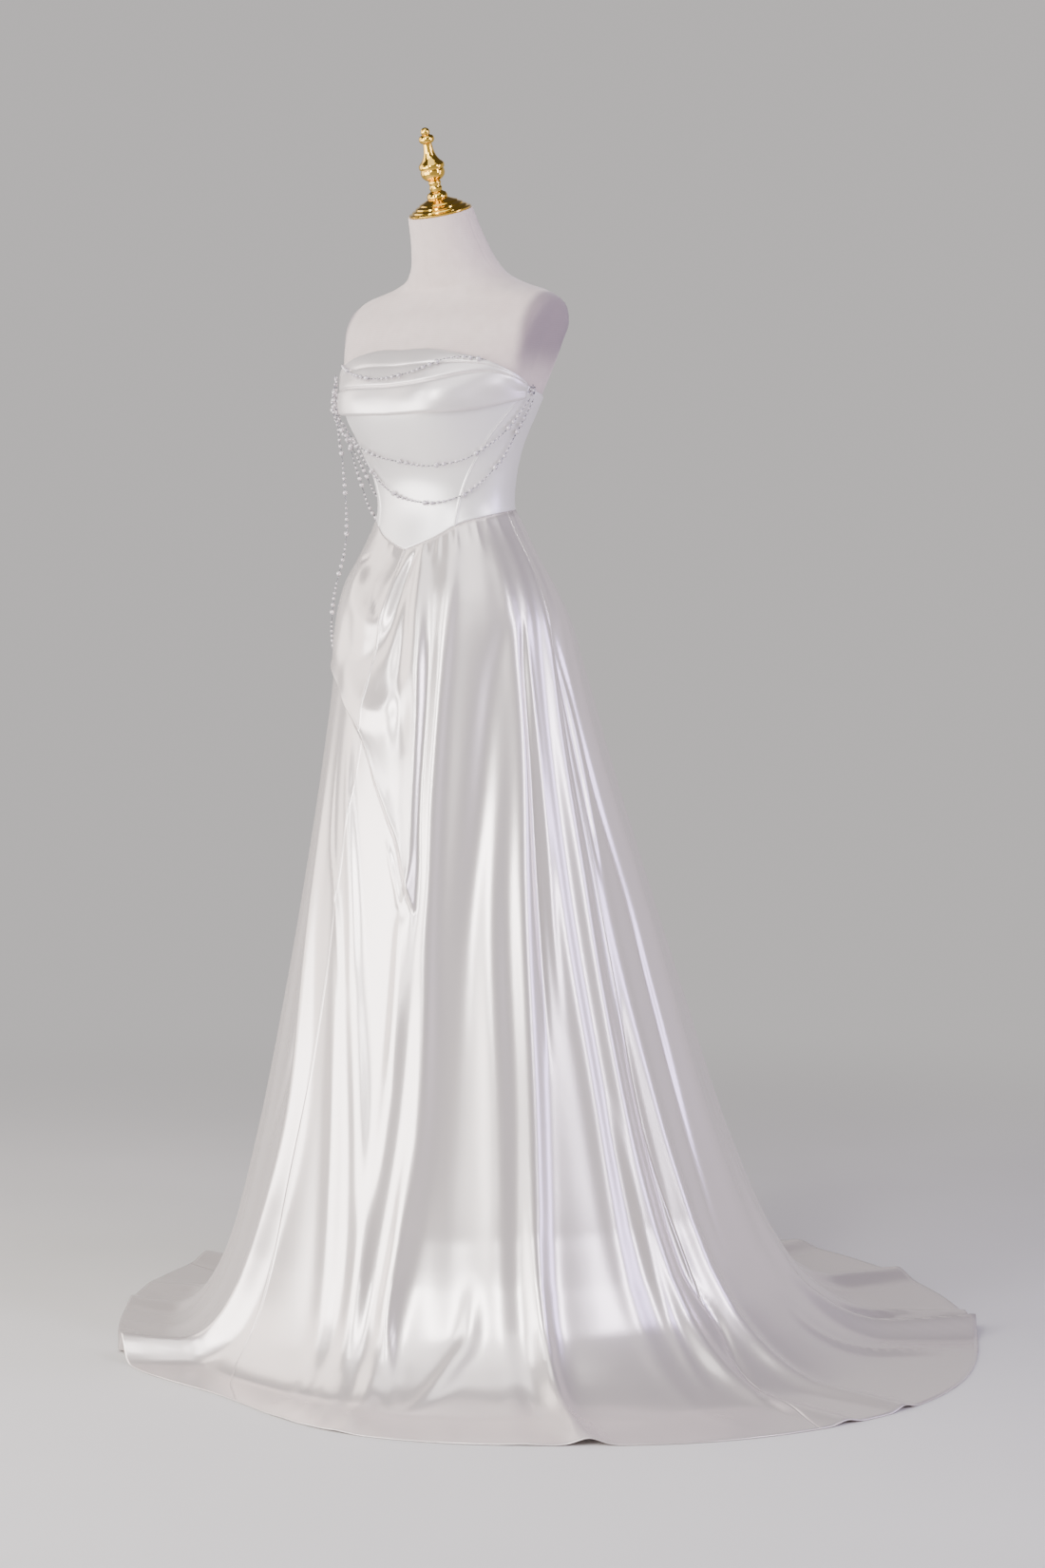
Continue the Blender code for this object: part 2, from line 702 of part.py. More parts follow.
# Stand under the form: a round plate on the floor and one pole
turned_object("stand_base", BASE_PROFILE, BASE_SIDES, Matrix.Identity(4), STEEL, 0.4, 1.0)
pole_bottom = BASE_THICKNESS + FIT_GAP
pole_top = FORM_ROWS[0] - FIT_GAP
POLE_PROFILE = [
    (pole_bottom, 0.0),
    (pole_bottom, POLE_RADIUS),
    (pole_top, POLE_RADIUS),
    (pole_top, 0.0),
]
turned_object("stand_pole", POLE_PROFILE, TURNED_SIDES, Matrix.Identity(4), STEEL, 0.4, 1.0)


# Bodice panels from waist seam to neckline
BODICE_SHARES = [0.0, 0.13, 0.27, 0.40, 0.51, 0.61, 0.70, 0.79, 0.89, 1.0]


def princess_azimuth(share):
    return smooth(column(PRINCESS_SEAM, 0), column(PRINCESS_SEAM, 1), share)


def side_back_azimuth(share):
    return SIDE_BACK_SEAM + 0.0 * share


def bodice_panel(name, left_edge, right_edge, columns):
    """Panel between two seam lines given as azimuths by share of height."""
    outer = []
    inner = []
    for share in BODICE_SHARES:
        start = left_edge(share)
        end = right_edge(share)
        turns = start + (end - start) * np.linspace(0.0, 1.0, columns)
        low = waist_height(turns) + 0.5 * WAIST_GAP
        heights = low + (neckline_height(turns) - low) * share
        radius = bodice_radius(turns, heights)
        trim = np.degrees(0.5 * SEAM_GAP / radius)
        turns[0] += trim[0]
        turns[-1] -= trim[-1]
        outer.append(polar(turns, radius, heights))
        inner.append(polar(turns, radius - BODICE_CLOTH, heights))
    wall_object(name, outer, inner, CLOTH_WHITE, SATIN_ROUGHNESS)


bodice_panel("bodice_front", lambda v: -princess_azimuth(v), princess_azimuth, 23)
bodice_panel("bodice_side_left", princess_azimuth, side_back_azimuth, 11)
bodice_panel("bodice_side_right", lambda v: -side_back_azimuth(v), lambda v: -princess_azimuth(v), 11)
bodice_panel("bodice_back_left", side_back_azimuth, lambda v: 180.0 + 0.0 * v, 9)
bodice_panel("bodice_back_right", lambda v: 180.0 + 0.0 * v, lambda v: 360.0 - side_back_azimuth(v), 9)


# Bust drape: one band laid in three folds over the top of the bodice
DRAPE_COLUMNS = 27


def drape_middle(azimuth, share, stand):
    """Middle of the drape's cloth, as distance from the pole and height."""
    top = neckline_height(azimuth)
    tall = top - by_azimuth(DRAPE_EDGE, azimuth)
    height = top - share * tall
    least = DRAPE_SECTION[0][1]
    full = np.clip(tall / DRAPE_FULL_HEIGHT, 0.0, 1.0)
    return bodice_radius(azimuth, height) + least + (stand - least) * full, height


drape_outer = []
drape_inner = []
drape_turns = np.linspace(-DRAPE_END, DRAPE_END, DRAPE_COLUMNS)
drape_line = np.array([drape_middle(drape_turns, share, stand) for share, stand in DRAPE_SECTION])
drape_slope = np.gradient(drape_line, axis=0)
drape_length = np.hypot(drape_slope[:, 0], drape_slope[:, 1])
for row, slope, length in zip(drape_line, drape_slope, drape_length):
    out_radius = -slope[1] / length * 0.5 * DRAPE_CLOTH
    out_height = slope[0] / length * 0.5 * DRAPE_CLOTH
    drape_outer.append(polar(drape_turns, row[0] + out_radius, row[1] + out_height))
    drape_inner.append(polar(drape_turns, row[0] - out_radius, row[1] - out_height))
wall_object("bust_drape", drape_outer, drape_inner, CLOTH_WHITE, SATIN_ROUGHNESS)


# Skirt panels from waist seam to hem, with their folds. The two steps, in
# degrees and courses, are those that the normals are measured over.
NORMAL_TURN = 0.15
NORMAL_COURSE = 0.002


def skirt_panel(name, left_seam, right_seam, columns):
    outer = []
    inner = []
    for course in SKIRT_ROWS:
        start = seam_azimuth(left_seam, course)
        end = seam_azimuth(right_seam, course)
        end += 360.0 * (end < start)
        turns = start + (end - start) * np.linspace(0.0, 1.0, columns)
        radius = skirt_radius(turns, course + 0.0 * turns)
        trim = np.degrees(0.5 * SEAM_GAP / radius)
        turns[0] += trim[0]
        turns[-1] -= trim[-1]
        courses = np.full_like(turns, course)
        points = skirt_point(turns, courses)
        normals = outward(skirt_point, turns, courses, NORMAL_TURN, NORMAL_COURSE)
        hidden = points - SKIRT_CLOTH * normals
        if course == 0.0:
            points[:, 2] -= 0.5 * WAIST_GAP
            hidden[:, 2] = np.minimum(hidden[:, 2], points[:, 2])
        hidden[:, 2] = np.maximum(hidden[:, 2], 0.0)
        outer.append(points)
        inner.append(hidden)
    wall_object(name, outer, inner, CLOTH_WHITE, SATIN_ROUGHNESS)


skirt_panel("skirt_front_right", RIGHT_SEAM, FRONT_SEAM, FRONT_RIGHT_COLUMNS)
skirt_panel("skirt_front_left", FRONT_SEAM, LEFT_SEAM, FRONT_LEFT_COLUMNS)
skirt_panel("skirt_back_left", LEFT_SEAM, BACK_SEAM, BACK_LEFT_COLUMNS)
skirt_panel("skirt_back_right", BACK_SEAM, RIGHT_SEAM, BACK_RIGHT_COLUMNS)

# Beaded cluster at the wearer's left underarm, over the end of the drape
ORNAMENT_AZIMUTH = 90.0
ORNAMENT_HEIGHT = 1.3425
ORNAMENT_SIZE = (0.0085, 0.0030, 0.0085)
ornament_radius = float(bodice_radius(ORNAMENT_AZIMUTH, ORNAMENT_HEIGHT)) + ORNAMENT_SIZE[1] + FIT_GAP
ornament_place = Vector(polar(ORNAMENT_AZIMUTH, np.array(ornament_radius), ORNAMENT_HEIGHT))
ornament_turn = Matrix.Rotation(math.radians(ORNAMENT_AZIMUTH), 3, "Z")
ornament_bm = bmesh.new()
bmesh.ops.create_icosphere(ornament_bm, subdivisions=2, radius=1.0)
bmesh.ops.scale(ornament_bm, vec=ORNAMENT_SIZE, verts=ornament_bm.verts)
bmesh.ops.rotate(ornament_bm, matrix=ornament_turn, verts=ornament_bm.verts)
bmesh.ops.translate(ornament_bm, vec=ornament_place, verts=ornament_bm.verts)
mesh_object("underarm_ornament", ornament_bm, PEARL, 0.3, 0.0, 60.0)


# Strands of beads as plain cords
BODY_CLEARANCE = 0.0020
DRAPE_CLEARANCE = 0.0008
SLOPE_STEP = 0.002
# Share of the way down the drape, distance that a strand keeps from the bodice
DRAPE_REACH = [
    (0.00, 0.0050),
    (0.10, 0.0080),
    (0.62, 0.0090),
    (0.75, 0.0135),
    (1.10, 0.0145),
    (1.28, 0.0110),
    (1.55, 0.0000),
]
DRAPE_REACH_END = DRAPE_END + 3.0
FINE_STEPS = 400


def travelled(points):
    """Distance along a line of points, at each point."""
    steps = np.linalg.norm(np.diff(points, axis=0), axis=1)
    return np.concatenate(([0.0], np.cumsum(steps)))


def even_points(points, pitch):
    """Points at an even pitch along a smooth curve through the given ones."""
    points = np.array(points)
    travel = travelled(points)
    fine = np.linspace(0.0, travel[-1], FINE_STEPS)
    curve = np.stack([smooth(travel, points[:, k], fine) for k in range(3)], axis=-1)
    travel = travelled(curve)
    count = int(round(travel[-1] / pitch)) + 1
    even = np.linspace(0.0, travel[-1], count)
    return np.stack([np.interp(even, travel, curve[:, k]) for k in range(3)], axis=-1)


def strand_object(name, points):
    curve = bpy.data.curves.new(name, "CURVE")
    curve.dimensions = "3D"
    curve.bevel_depth = STRAND_RADIUS
    curve.bevel_resolution = 2
    curve.use_fill_caps = True
    spline = curve.splines.new("POLY")
    spline.points.add(len(points) - 1)
    for slot, point in zip(spline.points, points):
        slot.co = (point[0], point[1], point[2], 1.0)
    item = bpy.data.objects.new(name, curve)
    bpy.context.collection.objects.link(item)
    give_material(item, PEARL, 0.3, 0.0)


def dress_stand(azimuth, height):
    """How far the drape stands off the bodice beside a strand."""
    top = float(neckline_height(azimuth))
    tall = top - float(by_azimuth(DRAPE_EDGE, azimuth))
    share = (top - height) / tall
    full = np.clip(tall / DRAPE_FULL_HEIGHT, 0.0, 1.0)
    reach = np.interp(share, column(DRAPE_REACH, 0), column(DRAPE_REACH, 1))
    over = abs(azimuth) < DRAPE_REACH_END
    return float(reach * full) if over else 0.0


def laid_strand(name, table, clearance):
    points = []
    for azimuth, height in table:
        near = bodice_radius(azimuth, height)
        slope = (bodice_radius(azimuth, height + SLOPE_STEP) - near) / SLOPE_STEP
        off = (STRAND_RADIUS + clearance) * math.hypot(1.0, slope)
        points.append(polar(azimuth, near + dress_stand(azimuth, height) + off, height))
    strand_object(name, even_points(points, STRAND_PITCH))


def hung_strand(name, table):
    points = [polar(azimuth, np.array(radius), height) for azimuth, radius, height in table]
    strand_object(name, even_points(points, STRAND_PITCH))


laid_strand("strand_top", STRAND_TOP, DRAPE_CLEARANCE)
laid_strand("strand_middle", STRAND_MIDDLE, BODY_CLEARANCE)
laid_strand("strand_low", STRAND_LOW, BODY_CLEARANCE)
hung_strand("strand_loop_long", LOOP_LONG)
hung_strand("strand_loop_middle", LOOP_MIDDLE)
hung_strand("strand_loop_short", LOOP_SHORT)
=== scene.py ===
"""Strapless satin wedding dress with a sweep train on a limbless dress form.

Metres, Z up, floor at z = 0, origin under the pole. The front faces -Y and an
azimuth runs in degrees from the front towards the wearer's left, which is +X.
"""
import math

import bmesh
import bpy
import numpy as np
from mathutils import Matrix, Vector


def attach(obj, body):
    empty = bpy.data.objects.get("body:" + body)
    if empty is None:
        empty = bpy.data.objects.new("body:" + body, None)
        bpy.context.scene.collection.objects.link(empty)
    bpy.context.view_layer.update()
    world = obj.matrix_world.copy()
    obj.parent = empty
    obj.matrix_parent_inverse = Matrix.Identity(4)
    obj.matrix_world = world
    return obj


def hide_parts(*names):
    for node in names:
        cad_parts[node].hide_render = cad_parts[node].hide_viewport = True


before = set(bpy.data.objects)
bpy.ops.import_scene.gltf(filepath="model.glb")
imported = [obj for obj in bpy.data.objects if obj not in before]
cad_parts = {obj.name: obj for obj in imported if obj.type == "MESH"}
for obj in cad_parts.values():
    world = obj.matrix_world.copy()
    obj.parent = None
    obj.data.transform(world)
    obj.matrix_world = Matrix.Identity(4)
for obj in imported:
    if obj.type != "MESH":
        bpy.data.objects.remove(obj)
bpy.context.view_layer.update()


# The stand: a low round plate on the floor and one pole up into the form.
# Both are turned steel tube and plate, brushed and left bare. The skirt hides
# them, and the solids of the frame already have their real shape.

def linear(code):
    """sRGB hex colour as a linear RGBA value."""
    parts = [int(code[i:i + 2], 16) / 255.0 for i in (1, 3, 5)]
    return tuple(p / 12.92 if p <= 0.04045 else ((p + 0.055) / 1.055) ** 2.4 for p in parts) + (1.0,)


def fill_sockets(tree, node, values, links):
    """Socket values and incoming links of a node."""
    for key, value in (values or {}).items():
        node.inputs[key].default_value = value
    for key, source in (links or {}).items():
        tree.links.new(source, node.inputs[key])


def add_node(tree, kind, settings=None, values=None, links=None):
    """Node with its settings, socket values and incoming links."""
    node = tree.nodes.new(kind)
    for key, value in (settings or {}).items():
        setattr(node, key, value)
    fill_sockets(tree, node, values, links)
    return node


def finish_with(name, values):
    """New material with its tree, its shader and the place on the piece."""
    material = bpy.data.materials.new(name)
    material.use_nodes = True
    tree = material.node_tree
    shader = tree.nodes["Principled BSDF"]
    fill_sockets(tree, shader, values, None)
    return material, tree, shader, add_node(tree, "ShaderNodeTexCoord").outputs["Object"]


# Brushed bare steel: grey with fine turned lines that stretch its highlights
steel, tree, shader, place = finish_with("brushed_steel", {
    "Base Color": linear("#8E8F92"), "Metallic": 1.0, "Roughness": 0.34, "Anisotropic": 0.5})
lines = add_node(tree, "ShaderNodeMapping", values={"Scale": (1.0, 1.0, 900.0)}, links={"Vector": place})
grain = add_node(tree, "ShaderNodeTexNoise", values={"Scale": 3.0, "Detail": 3.0},
                 links={"Vector": lines.outputs["Vector"]})
bump = add_node(tree, "ShaderNodeBump", values={"Strength": 0.12, "Distance": 0.0004},
                links={"Height": grain.outputs["Fac"]})
fill_sockets(tree, shader, None, {"Normal": bump.outputs["Normal"]})
for node_name in ("stand_base", "stand_pole"):
    for slot in bpy.data.objects[node_name].material_slots:
        slot.material = steel


# The dress form: a padded torso from hip to neck, flat where the arms would
# be, covered in undyed linen that is cut in panels and sewn down the centre
# front, the centre back and the sides.

def thousandths(rows, columns):
    """Rows of a table that states the given columns in thousandths."""
    return [tuple(x / 1000.0 if i in columns else x for i, x in enumerate(row)) for row in rows]


# height, half width, front depth, back depth, centre behind the pole and arm
# plate in mm, tilt in degrees
FORM_SECTIONS = thousandths([
    (820, 140, 88, 108, 0, 300, 0),
    (845, 153, 99, 120, 0, 300, 0),
    (900, 161, 105, 127, 0, 300, 0),
    (970, 163, 107, 128, 0, 300, 0),
    (1030, 155, 102, 122, 0, 300, 0),
    (1085, 137, 94, 109, 0, 300, 0),
    (1130, 115, 84, 96, 0, 300, 0),
    (1187, 100, 73, 88, 0, 300, 0),
    (1225, 107, 76, 79, 0, 300, 0),
    (1268, 122, 99, 79, 0, 300, 0),
    (1310, 140, 115, 97, 0, 300, 0),
    (1340, 151, 116, 114, 0, 151, 0),
    (1370, 163, 110, 118, 5, 154, 0),
    (1410, 180, 96, 106, 16, 163, 0),
    (1445, 188, 88, 96, 28, 170, 0),
    (1468, 178, 72, 78, 32, 173, 2),
    (1484, 150, 62, 66, 32, 176, 4),
    (1495, 112, 58, 62, 32, 180, 7),
    (1506, 83, 59, 61, 29, 180, 10),
    (1522, 66, 58, 58, 24, 180, 13),
    (1555, 53, 51, 51, 10, 180, 16),
    (1597, 46, 44, 44, -8, 180, 17.5),
], range(6))
# height, spread in degrees, spread in height and depth of a cup; azimuth of each
CUP = (1.320, 24.0, 0.064, 0.018)
CUP_AZIMUTHS = (28.0, -28.0)
LEAST_ACROSS = 0.05
# the arm plate meets the shoulder in an edge rounded by this much
PLATE_ROUND = 0.002
CENTRING_ROUNDS = 4


def smooth(keys, values, x):
    """Smooth curve through a table column."""
    keys = np.asarray(keys, float)
    values = np.asarray(values, float)
    slope = np.gradient(values, keys)
    x = np.clip(x, keys[0], keys[-1])
    i = np.clip(np.searchsorted(keys, x, side="right") - 1, 0, len(keys) - 2)
    h = keys[i + 1] - keys[i]
    t = (x - keys[i]) / h
    rise = (1 + 2 * t) * (1 - t) ** 2 * values[i] + t * (1 - t) ** 2 * h * slope[i]
    return rise + t * t * (3 - 2 * t) * values[i + 1] + t * t * (t - 1) * h * slope[i + 1]


def column(table, index):
    return [row[index] for row in table]


def form_column(index, height):
    return smooth(column(FORM_SECTIONS, 0), column(FORM_SECTIONS, index), height)


def turned_by(azimuth, centre):
    """Signed difference of two azimuths in degrees."""
    return (azimuth - centre + 180.0) % 360.0 - 180.0


def section_radius(azimuth, height):
    """Radius of a form section about its own centre."""
    plate = np.interp(height, column(FORM_SECTIONS, 0), column(FORM_SECTIONS, 5))
    angle = np.radians(azimuth)
    across = np.abs(np.sin(angle))
    along = np.cos(angle)
    depth = np.where(along > 0.0, form_column(2, height), form_column(3, height))
    radius = 1.0 / np.sqrt((across / form_column(1, height)) ** 2 + (along / depth) ** 2)
    cup_height, spread, tall, full = CUP
    for cup_azimuth in CUP_AZIMUTHS:
        away = (turned_by(azimuth, cup_azimuth) / spread) ** 2 + ((height - cup_height) / tall) ** 2
        radius = radius + full * np.exp(-away)
    flat = plate / np.maximum(across, LEAST_ACROSS)
    return -PLATE_ROUND * np.logaddexp(-radius / PLATE_ROUND, -flat / PLATE_ROUND)


def form_radius(azimuth, height):
    """Distance of the form's surface from the pole, below the shoulders."""
    centre = form_column(4, height)
    angle = np.radians(azimuth)
    radius = section_radius(azimuth, height)
    for _ in range(CENTRING_ROUNDS):
        side = np.sin(angle) * radius
        ahead = np.cos(angle) * radius + centre
        turned = np.arctan2(side, ahead)
        own = section_radius(np.degrees(turned), height)
        radius = np.hypot(np.sin(turned) * own, np.cos(turned) * own - centre)
    return radius


def polar(azimuth, radius, height):
    angle = np.radians(azimuth)
    return np.stack([np.sin(angle) * radius, -np.cos(angle) * radius, height + 0.0 * radius], axis=-1)


def piece_from(name, bm, *finishes):
    """Linked piece with the given name, shape and finishes."""
    mesh = bpy.data.meshes.new(name)
    bm.to_mesh(mesh)
    bm.free()
    for finish in finishes:
        mesh.materials.append(finish)
    piece = bpy.data.objects.new(name, mesh)
    bpy.context.collection.objects.link(piece)
    return piece


# points nearer than this are one point; a turn past this joins across the back
SAME_POINT = 0.00005
WRAP_TURN = 0.3


def laid_grid(name, columns, rows, place, close=False):
    """Piece made of a flat grid whose points are laid on a surface.

    Its UV map holds the turn round the pole and the way down the cloth.
    """
    bm = bmesh.new()
    bm.loops.layers.uv.new("weave")
    bmesh.ops.create_grid(bm, x_segments=columns, y_segments=rows, size=0.5)
    flat = np.array([vert.co[:2] for vert in bm.verts]) + 0.5
    points = place(flat[:, 0], flat[:, 1])
    for vert, point in zip(bm.verts, points):
        vert.co = point
    if close:
        bmesh.ops.remove_doubles(bm, verts=bm.verts, dist=SAME_POINT)
        bmesh.ops.holes_fill(bm, edges=bm.edges, sides=0)
    piece = piece_from(name, bm)
    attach(piece, "root")
    mesh = piece.data
    mesh.shade_smooth()
    ends = np.zeros(len(mesh.loops), int)
    mesh.loops.foreach_get("vertex_index", ends)
    where = np.zeros(3 * len(mesh.vertices))
    mesh.vertices.foreach_get("co", where)
    where = where.reshape(-1, 3)
    turn = np.arctan2(where[:, 0], -where[:, 1]) / (2.0 * math.pi)
    turn = turn + (turn < -WRAP_TURN) * (turn.max() > WRAP_TURN)
    grain = np.stack((turn, where[:, 2] - np.hypot(where[:, 0], where[:, 1])), axis=-1)
    mesh.uv_layers["weave"].uv.foreach_set("vector", grain[ends].ravel())
    return piece


# grooves of the sewn seams: azimuths, half width and depth in metres
FORM_SEAMS = (0.0, 90.0, 180.0, -90.0)
SEAM_HALF = 0.0013
SEAM_DEEP = 0.0007
FORM_SHARP = math.radians(50.0)


def form_point(u, v):
    azimuth = u * 360.0
    height = FORM_SECTIONS[0][0] + v * (FORM_SECTIONS[-1][0] - FORM_SECTIONS[0][0])
    radius = section_radius(azimuth, height)
    for seam in FORM_SEAMS:
        away = np.radians(turned_by(azimuth, seam)) * radius
        radius = radius - SEAM_DEEP * np.exp(-(away / SEAM_HALF) ** 2)
    points = polar(azimuth, radius, height)
    points[:, 2] += np.tan(np.radians(form_column(6, height))) * points[:, 1]
    points[:, 1] += form_column(4, height)
    return points


torso = laid_grid("form_cover", 160, 160, form_point, close=True)
torso.data.set_sharp_from_angle(angle=FORM_SHARP)
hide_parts("form_torso")

# distance from the middle at which the darker tone of the arm plate begins
PLATE_START = 0.148
PLATE_END = 0.163

# Plain woven linen: warm undyed beige, threads about 0.5 mm with thick slubs,
# matt with a faint fuzz at the edges. Drawn at 1 mm so that the weave shows.
linen, tree, shader, place = finish_with("undyed_linen", {
    "Base Color": linear("#CFC3BC"), "Roughness": 0.85, "Sheen Weight": 0.35, "Sheen Roughness": 0.5,
    "Specular IOR Level": 0.3})


def mottled(tree, place, scale, detail, light, dark):
    """Colour that drifts between two tones over the piece."""
    cloud = add_node(tree, "ShaderNodeTexNoise", values={"Scale": scale, "Detail": detail},
                     links={"Vector": place})
    tone = add_node(tree, "ShaderNodeMix", {"data_type": "RGBA"}, {6: linear(light), 7: linear(dark)},
                    {0: cloud.outputs["Fac"]})
    return tone.outputs[2]


warp, weft = [
    add_node(tree, "ShaderNodeTexWave", {"wave_type": "BANDS", "bands_direction": way},
             {"Scale": 110.0, "Distortion": 2.5, "Detail": 2.0, "Detail Scale": 6.0},
             {"Vector": place}).outputs["Fac"] for way in "XZ"]
weave = add_node(tree, "ShaderNodeMath", {"operation": "ADD"}, links={0: warp, 1: weft})
bump = add_node(tree, "ShaderNodeBump", values={"Strength": 0.25, "Distance": 0.0003},
                links={"Height": weave.outputs[0]})
# the arm plates are drawn in a darker tone of the linen
apart = add_node(tree, "ShaderNodeSeparateXYZ", links={0: place})
aside = add_node(tree, "ShaderNodeMath", {"operation": "ABSOLUTE"}, links={0: apart.outputs["X"]})
plate = add_node(tree, "ShaderNodeMapRange", {"interpolation_type": "SMOOTHSTEP"},
                 {"From Min": PLATE_START, "From Max": PLATE_END}, {"Value": aside.outputs[0]})
cover = add_node(tree, "ShaderNodeMix", {"data_type": "RGBA"}, {7: linear("#8A7B80")},
                 {0: plate.outputs["Result"], 6: mottled(tree, place, 60.0, 4.0, "#D8C7C2", "#C4B2AD")})
fill_sockets(tree, shader, None, {"Base Color": cover.outputs[2], "Normal": bump.outputs["Normal"]})
torso.data.materials.append(linen)


# The neck fittings: a stepped cap and a finial, each turned from brass rod on
# a lathe, polished and lacquered. The finial's screw holds the cap down on
# the sloped top of the neck.

# height above the neck top and radius, in mm
CAP_PROFILE = [
    (0.3, 0), (0.3, 44), (1.2, 44.6), (3, 44.5), (4, 43), (4.5, 40), (6.5, 39.3), (7.5, 37.8), (8.5, 34.5),
    (10.5, 33.8), (11.5, 32), (13, 28), (15, 26.8), (15.8, 24.8), (18, 19), (19.2, 16.8), (20, 15), (20, 0),
]
FINIAL_PROFILE = [
    (20.3, 0), (20.3, 14), (22.2, 15), (24, 14.8), (26.2, 13.8), (28, 12.8), (29.6, 9.8), (31, 8.2),
    (33, 8.6), (35, 9.2), (36.8, 8.4), (38.5, 7.8), (40.5, 8.4), (42.5, 9), (44, 8.6), (45, 8),
    (45.8, 10.2), (48, 13), (51.2, 16), (55, 17.2), (59, 17.1), (62, 16), (62.4, 17.6), (63.5, 18.1),
    (66, 18.3), (68.5, 18), (70.8, 16), (73, 13.5), (76.5, 11), (80, 9.2), (85, 7.6), (90, 6.8), (95, 6.3),
    (97.5, 6.4), (98.2, 8.2), (99.5, 9.8), (101.8, 10.9), (104, 11), (106.5, 10.4), (108.5, 9),
    (109.3, 6.6), (110, 5.5), (112, 6.2), (114.5, 6.4), (116.5, 5.8), (118, 4.8), (119.4, 2.6), (120, 0),
]
NECK_TILT = math.radians(17.5)
TURNED_STEPS = 72
TURNED_SHARP = math.radians(38.0)

# Polished brass: warm yellow mirror with faint circular polishing lines
brass, tree, shader, place = finish_with("polished_brass", {
    "Base Color": linear("#E8BC50"), "Metallic": 1.0, "Roughness": 0.11})
haze = add_node(tree, "ShaderNodeTexNoise", values={"Scale": 260.0, "Detail": 4.0}, links={"Vector": place})
gloss = add_node(tree, "ShaderNodeMapRange", values={"To Min": 0.07, "To Max": 0.17},
                 links={"Value": haze.outputs["Fac"]})
bump = add_node(tree, "ShaderNodeBump", values={"Strength": 0.04, "Distance": 0.0002},
                links={"Height": haze.outputs["Fac"]})
fill_sockets(tree, shader, None, {"Roughness": gloss.outputs["Result"], "Normal": bump.outputs["Normal"]})

neck_top = Matrix.Translation((0.0, FORM_SECTIONS[-1][4], FORM_SECTIONS[-1][0]))
neck_place = neck_top @ Matrix.Rotation(NECK_TILT, 4, "X")


def turned_piece(name, profile, replaced):
    """Body spun from a profile about the neck's axis."""
    bm = bmesh.new()
    line = [bm.verts.new((radius, 0.0, height)) for height, radius in thousandths(profile, (0, 1))]
    edges = [bm.edges.new(pair) for pair in zip(line, line[1:])]
    bmesh.ops.spin(bm, geom=line + edges, cent=(0.0, 0.0, 0.0), axis=(0.0, 0.0, 1.0),
                   angle=2.0 * math.pi, steps=TURNED_STEPS, use_merge=True)
    bmesh.ops.remove_doubles(bm, verts=bm.verts, dist=SAME_POINT / 5.0)
    bmesh.ops.recalc_face_normals(bm, faces=bm.faces)
    bmesh.ops.transform(bm, matrix=neck_place, verts=bm.verts)
    piece = piece_from(name, bm, brass)
    piece.data.shade_smooth()
    piece.data.set_sharp_from_angle(angle=TURNED_SHARP)
    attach(piece, "root")
    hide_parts(replaced)


turned_piece("brass_cap", CAP_PROFILE, "neck_cap")
turned_piece("brass_finial", FINIAL_PROFILE, "neck_finial")


# The bodice: front, two side and two back panels of heavy satin, interlined
# so that they lie taut, sewn to each other along the princess and side back
# seams with the allowances pressed open. Its lower edge is a V in front.

CLOTH_THICK = 0.0012
SEAM_GAP = 0.0001
FORM_CLEARANCE = 0.0020
WAIST_BRIDGE = 0.0018
BRIDGE_HEIGHT = 1.220
BRIDGE_SPREAD = 0.050
BODICE_CLOTH = 0.0015
BODICE_ROWS = 100

# azimuth from the front, height
WAIST_SEAM = [
    (-15, 1.114), (0, 1.1225), (15, 1.131), (34, 1.144), (47, 1.156), (75, 1.17), (128, 1.18), (180, 1.18),
]
NECKLINE = [
    (0, 1.399), (30, 1.399), (50, 1.391), (62, 1.382), (76, 1.364), (90, 1.346), (110, 1.336), (180, 1.326),
]
# share of the way from waist to neckline, azimuth
PRINCESS_SEAM = [
    (0, 47), (0.15, 52), (0.35, 60), (0.55, 68), (0.75, 77), (1, 88),
]
SIDE_BACK_SEAM = 132.0
# roll of each pressed seam: height of the ridge, its distance and half width
SEAM_ROLL = (0.0011, 0.0008, 0.0010)


def by_azimuth(table, azimuth):
    """Value of a symmetric table at an azimuth in degrees."""
    folded = np.abs(turned_by(np.asarray(azimuth, float), 0.0))
    return smooth(column(table, 0), column(table, 1), folded)


def waist_height(azimuth):
    return by_azimuth(WAIST_SEAM, azimuth)


def neckline_height(azimuth):
    return by_azimuth(NECKLINE, azimuth)


def bodice_radius(azimuth, height):
    """Outer face of the bodice, drawn taut over the hollow of the waist."""
    bridge = WAIST_BRIDGE * np.exp(-((height - BRIDGE_HEIGHT) / BRIDGE_SPREAD) ** 2)
    return form_radius(azimuth, height) + FORM_CLEARANCE + bridge + BODICE_CLOTH


def seam_roll(distance):
    """Rise of the cloth beside a pressed seam, by distance from its line."""
    high, off, wide = SEAM_ROLL
    return high * np.exp(-((distance - off) / wide) ** 2)


def crowded(u, share):
    """Spreads columns so that more of them lie near both edges."""
    return u - share * np.sin(2.0 * math.pi * u) / (2.0 * math.pi)


def princess_azimuth(share):
    return smooth(column(PRINCESS_SEAM, 0), column(PRINCESS_SEAM, 1), share)


def side_back_azimuth(share):
    return SIDE_BACK_SEAM + 0.0 * share


def centre_back_azimuth(share):
    return 180.0 + 0.0 * share


# Duchess satin of polyester: ivory white with long floats on its face that
# spread the highlights across the threads. The face is smooth and lustrous.
satin, tree, shader, place = finish_with("duchess_satin", {
    "Base Color": linear("#E8DEDB"), "Metallic": 0.64, "Roughness": 0.26, "Specular IOR Level": 0.7,
    "Anisotropic": 0.3})
bump = None
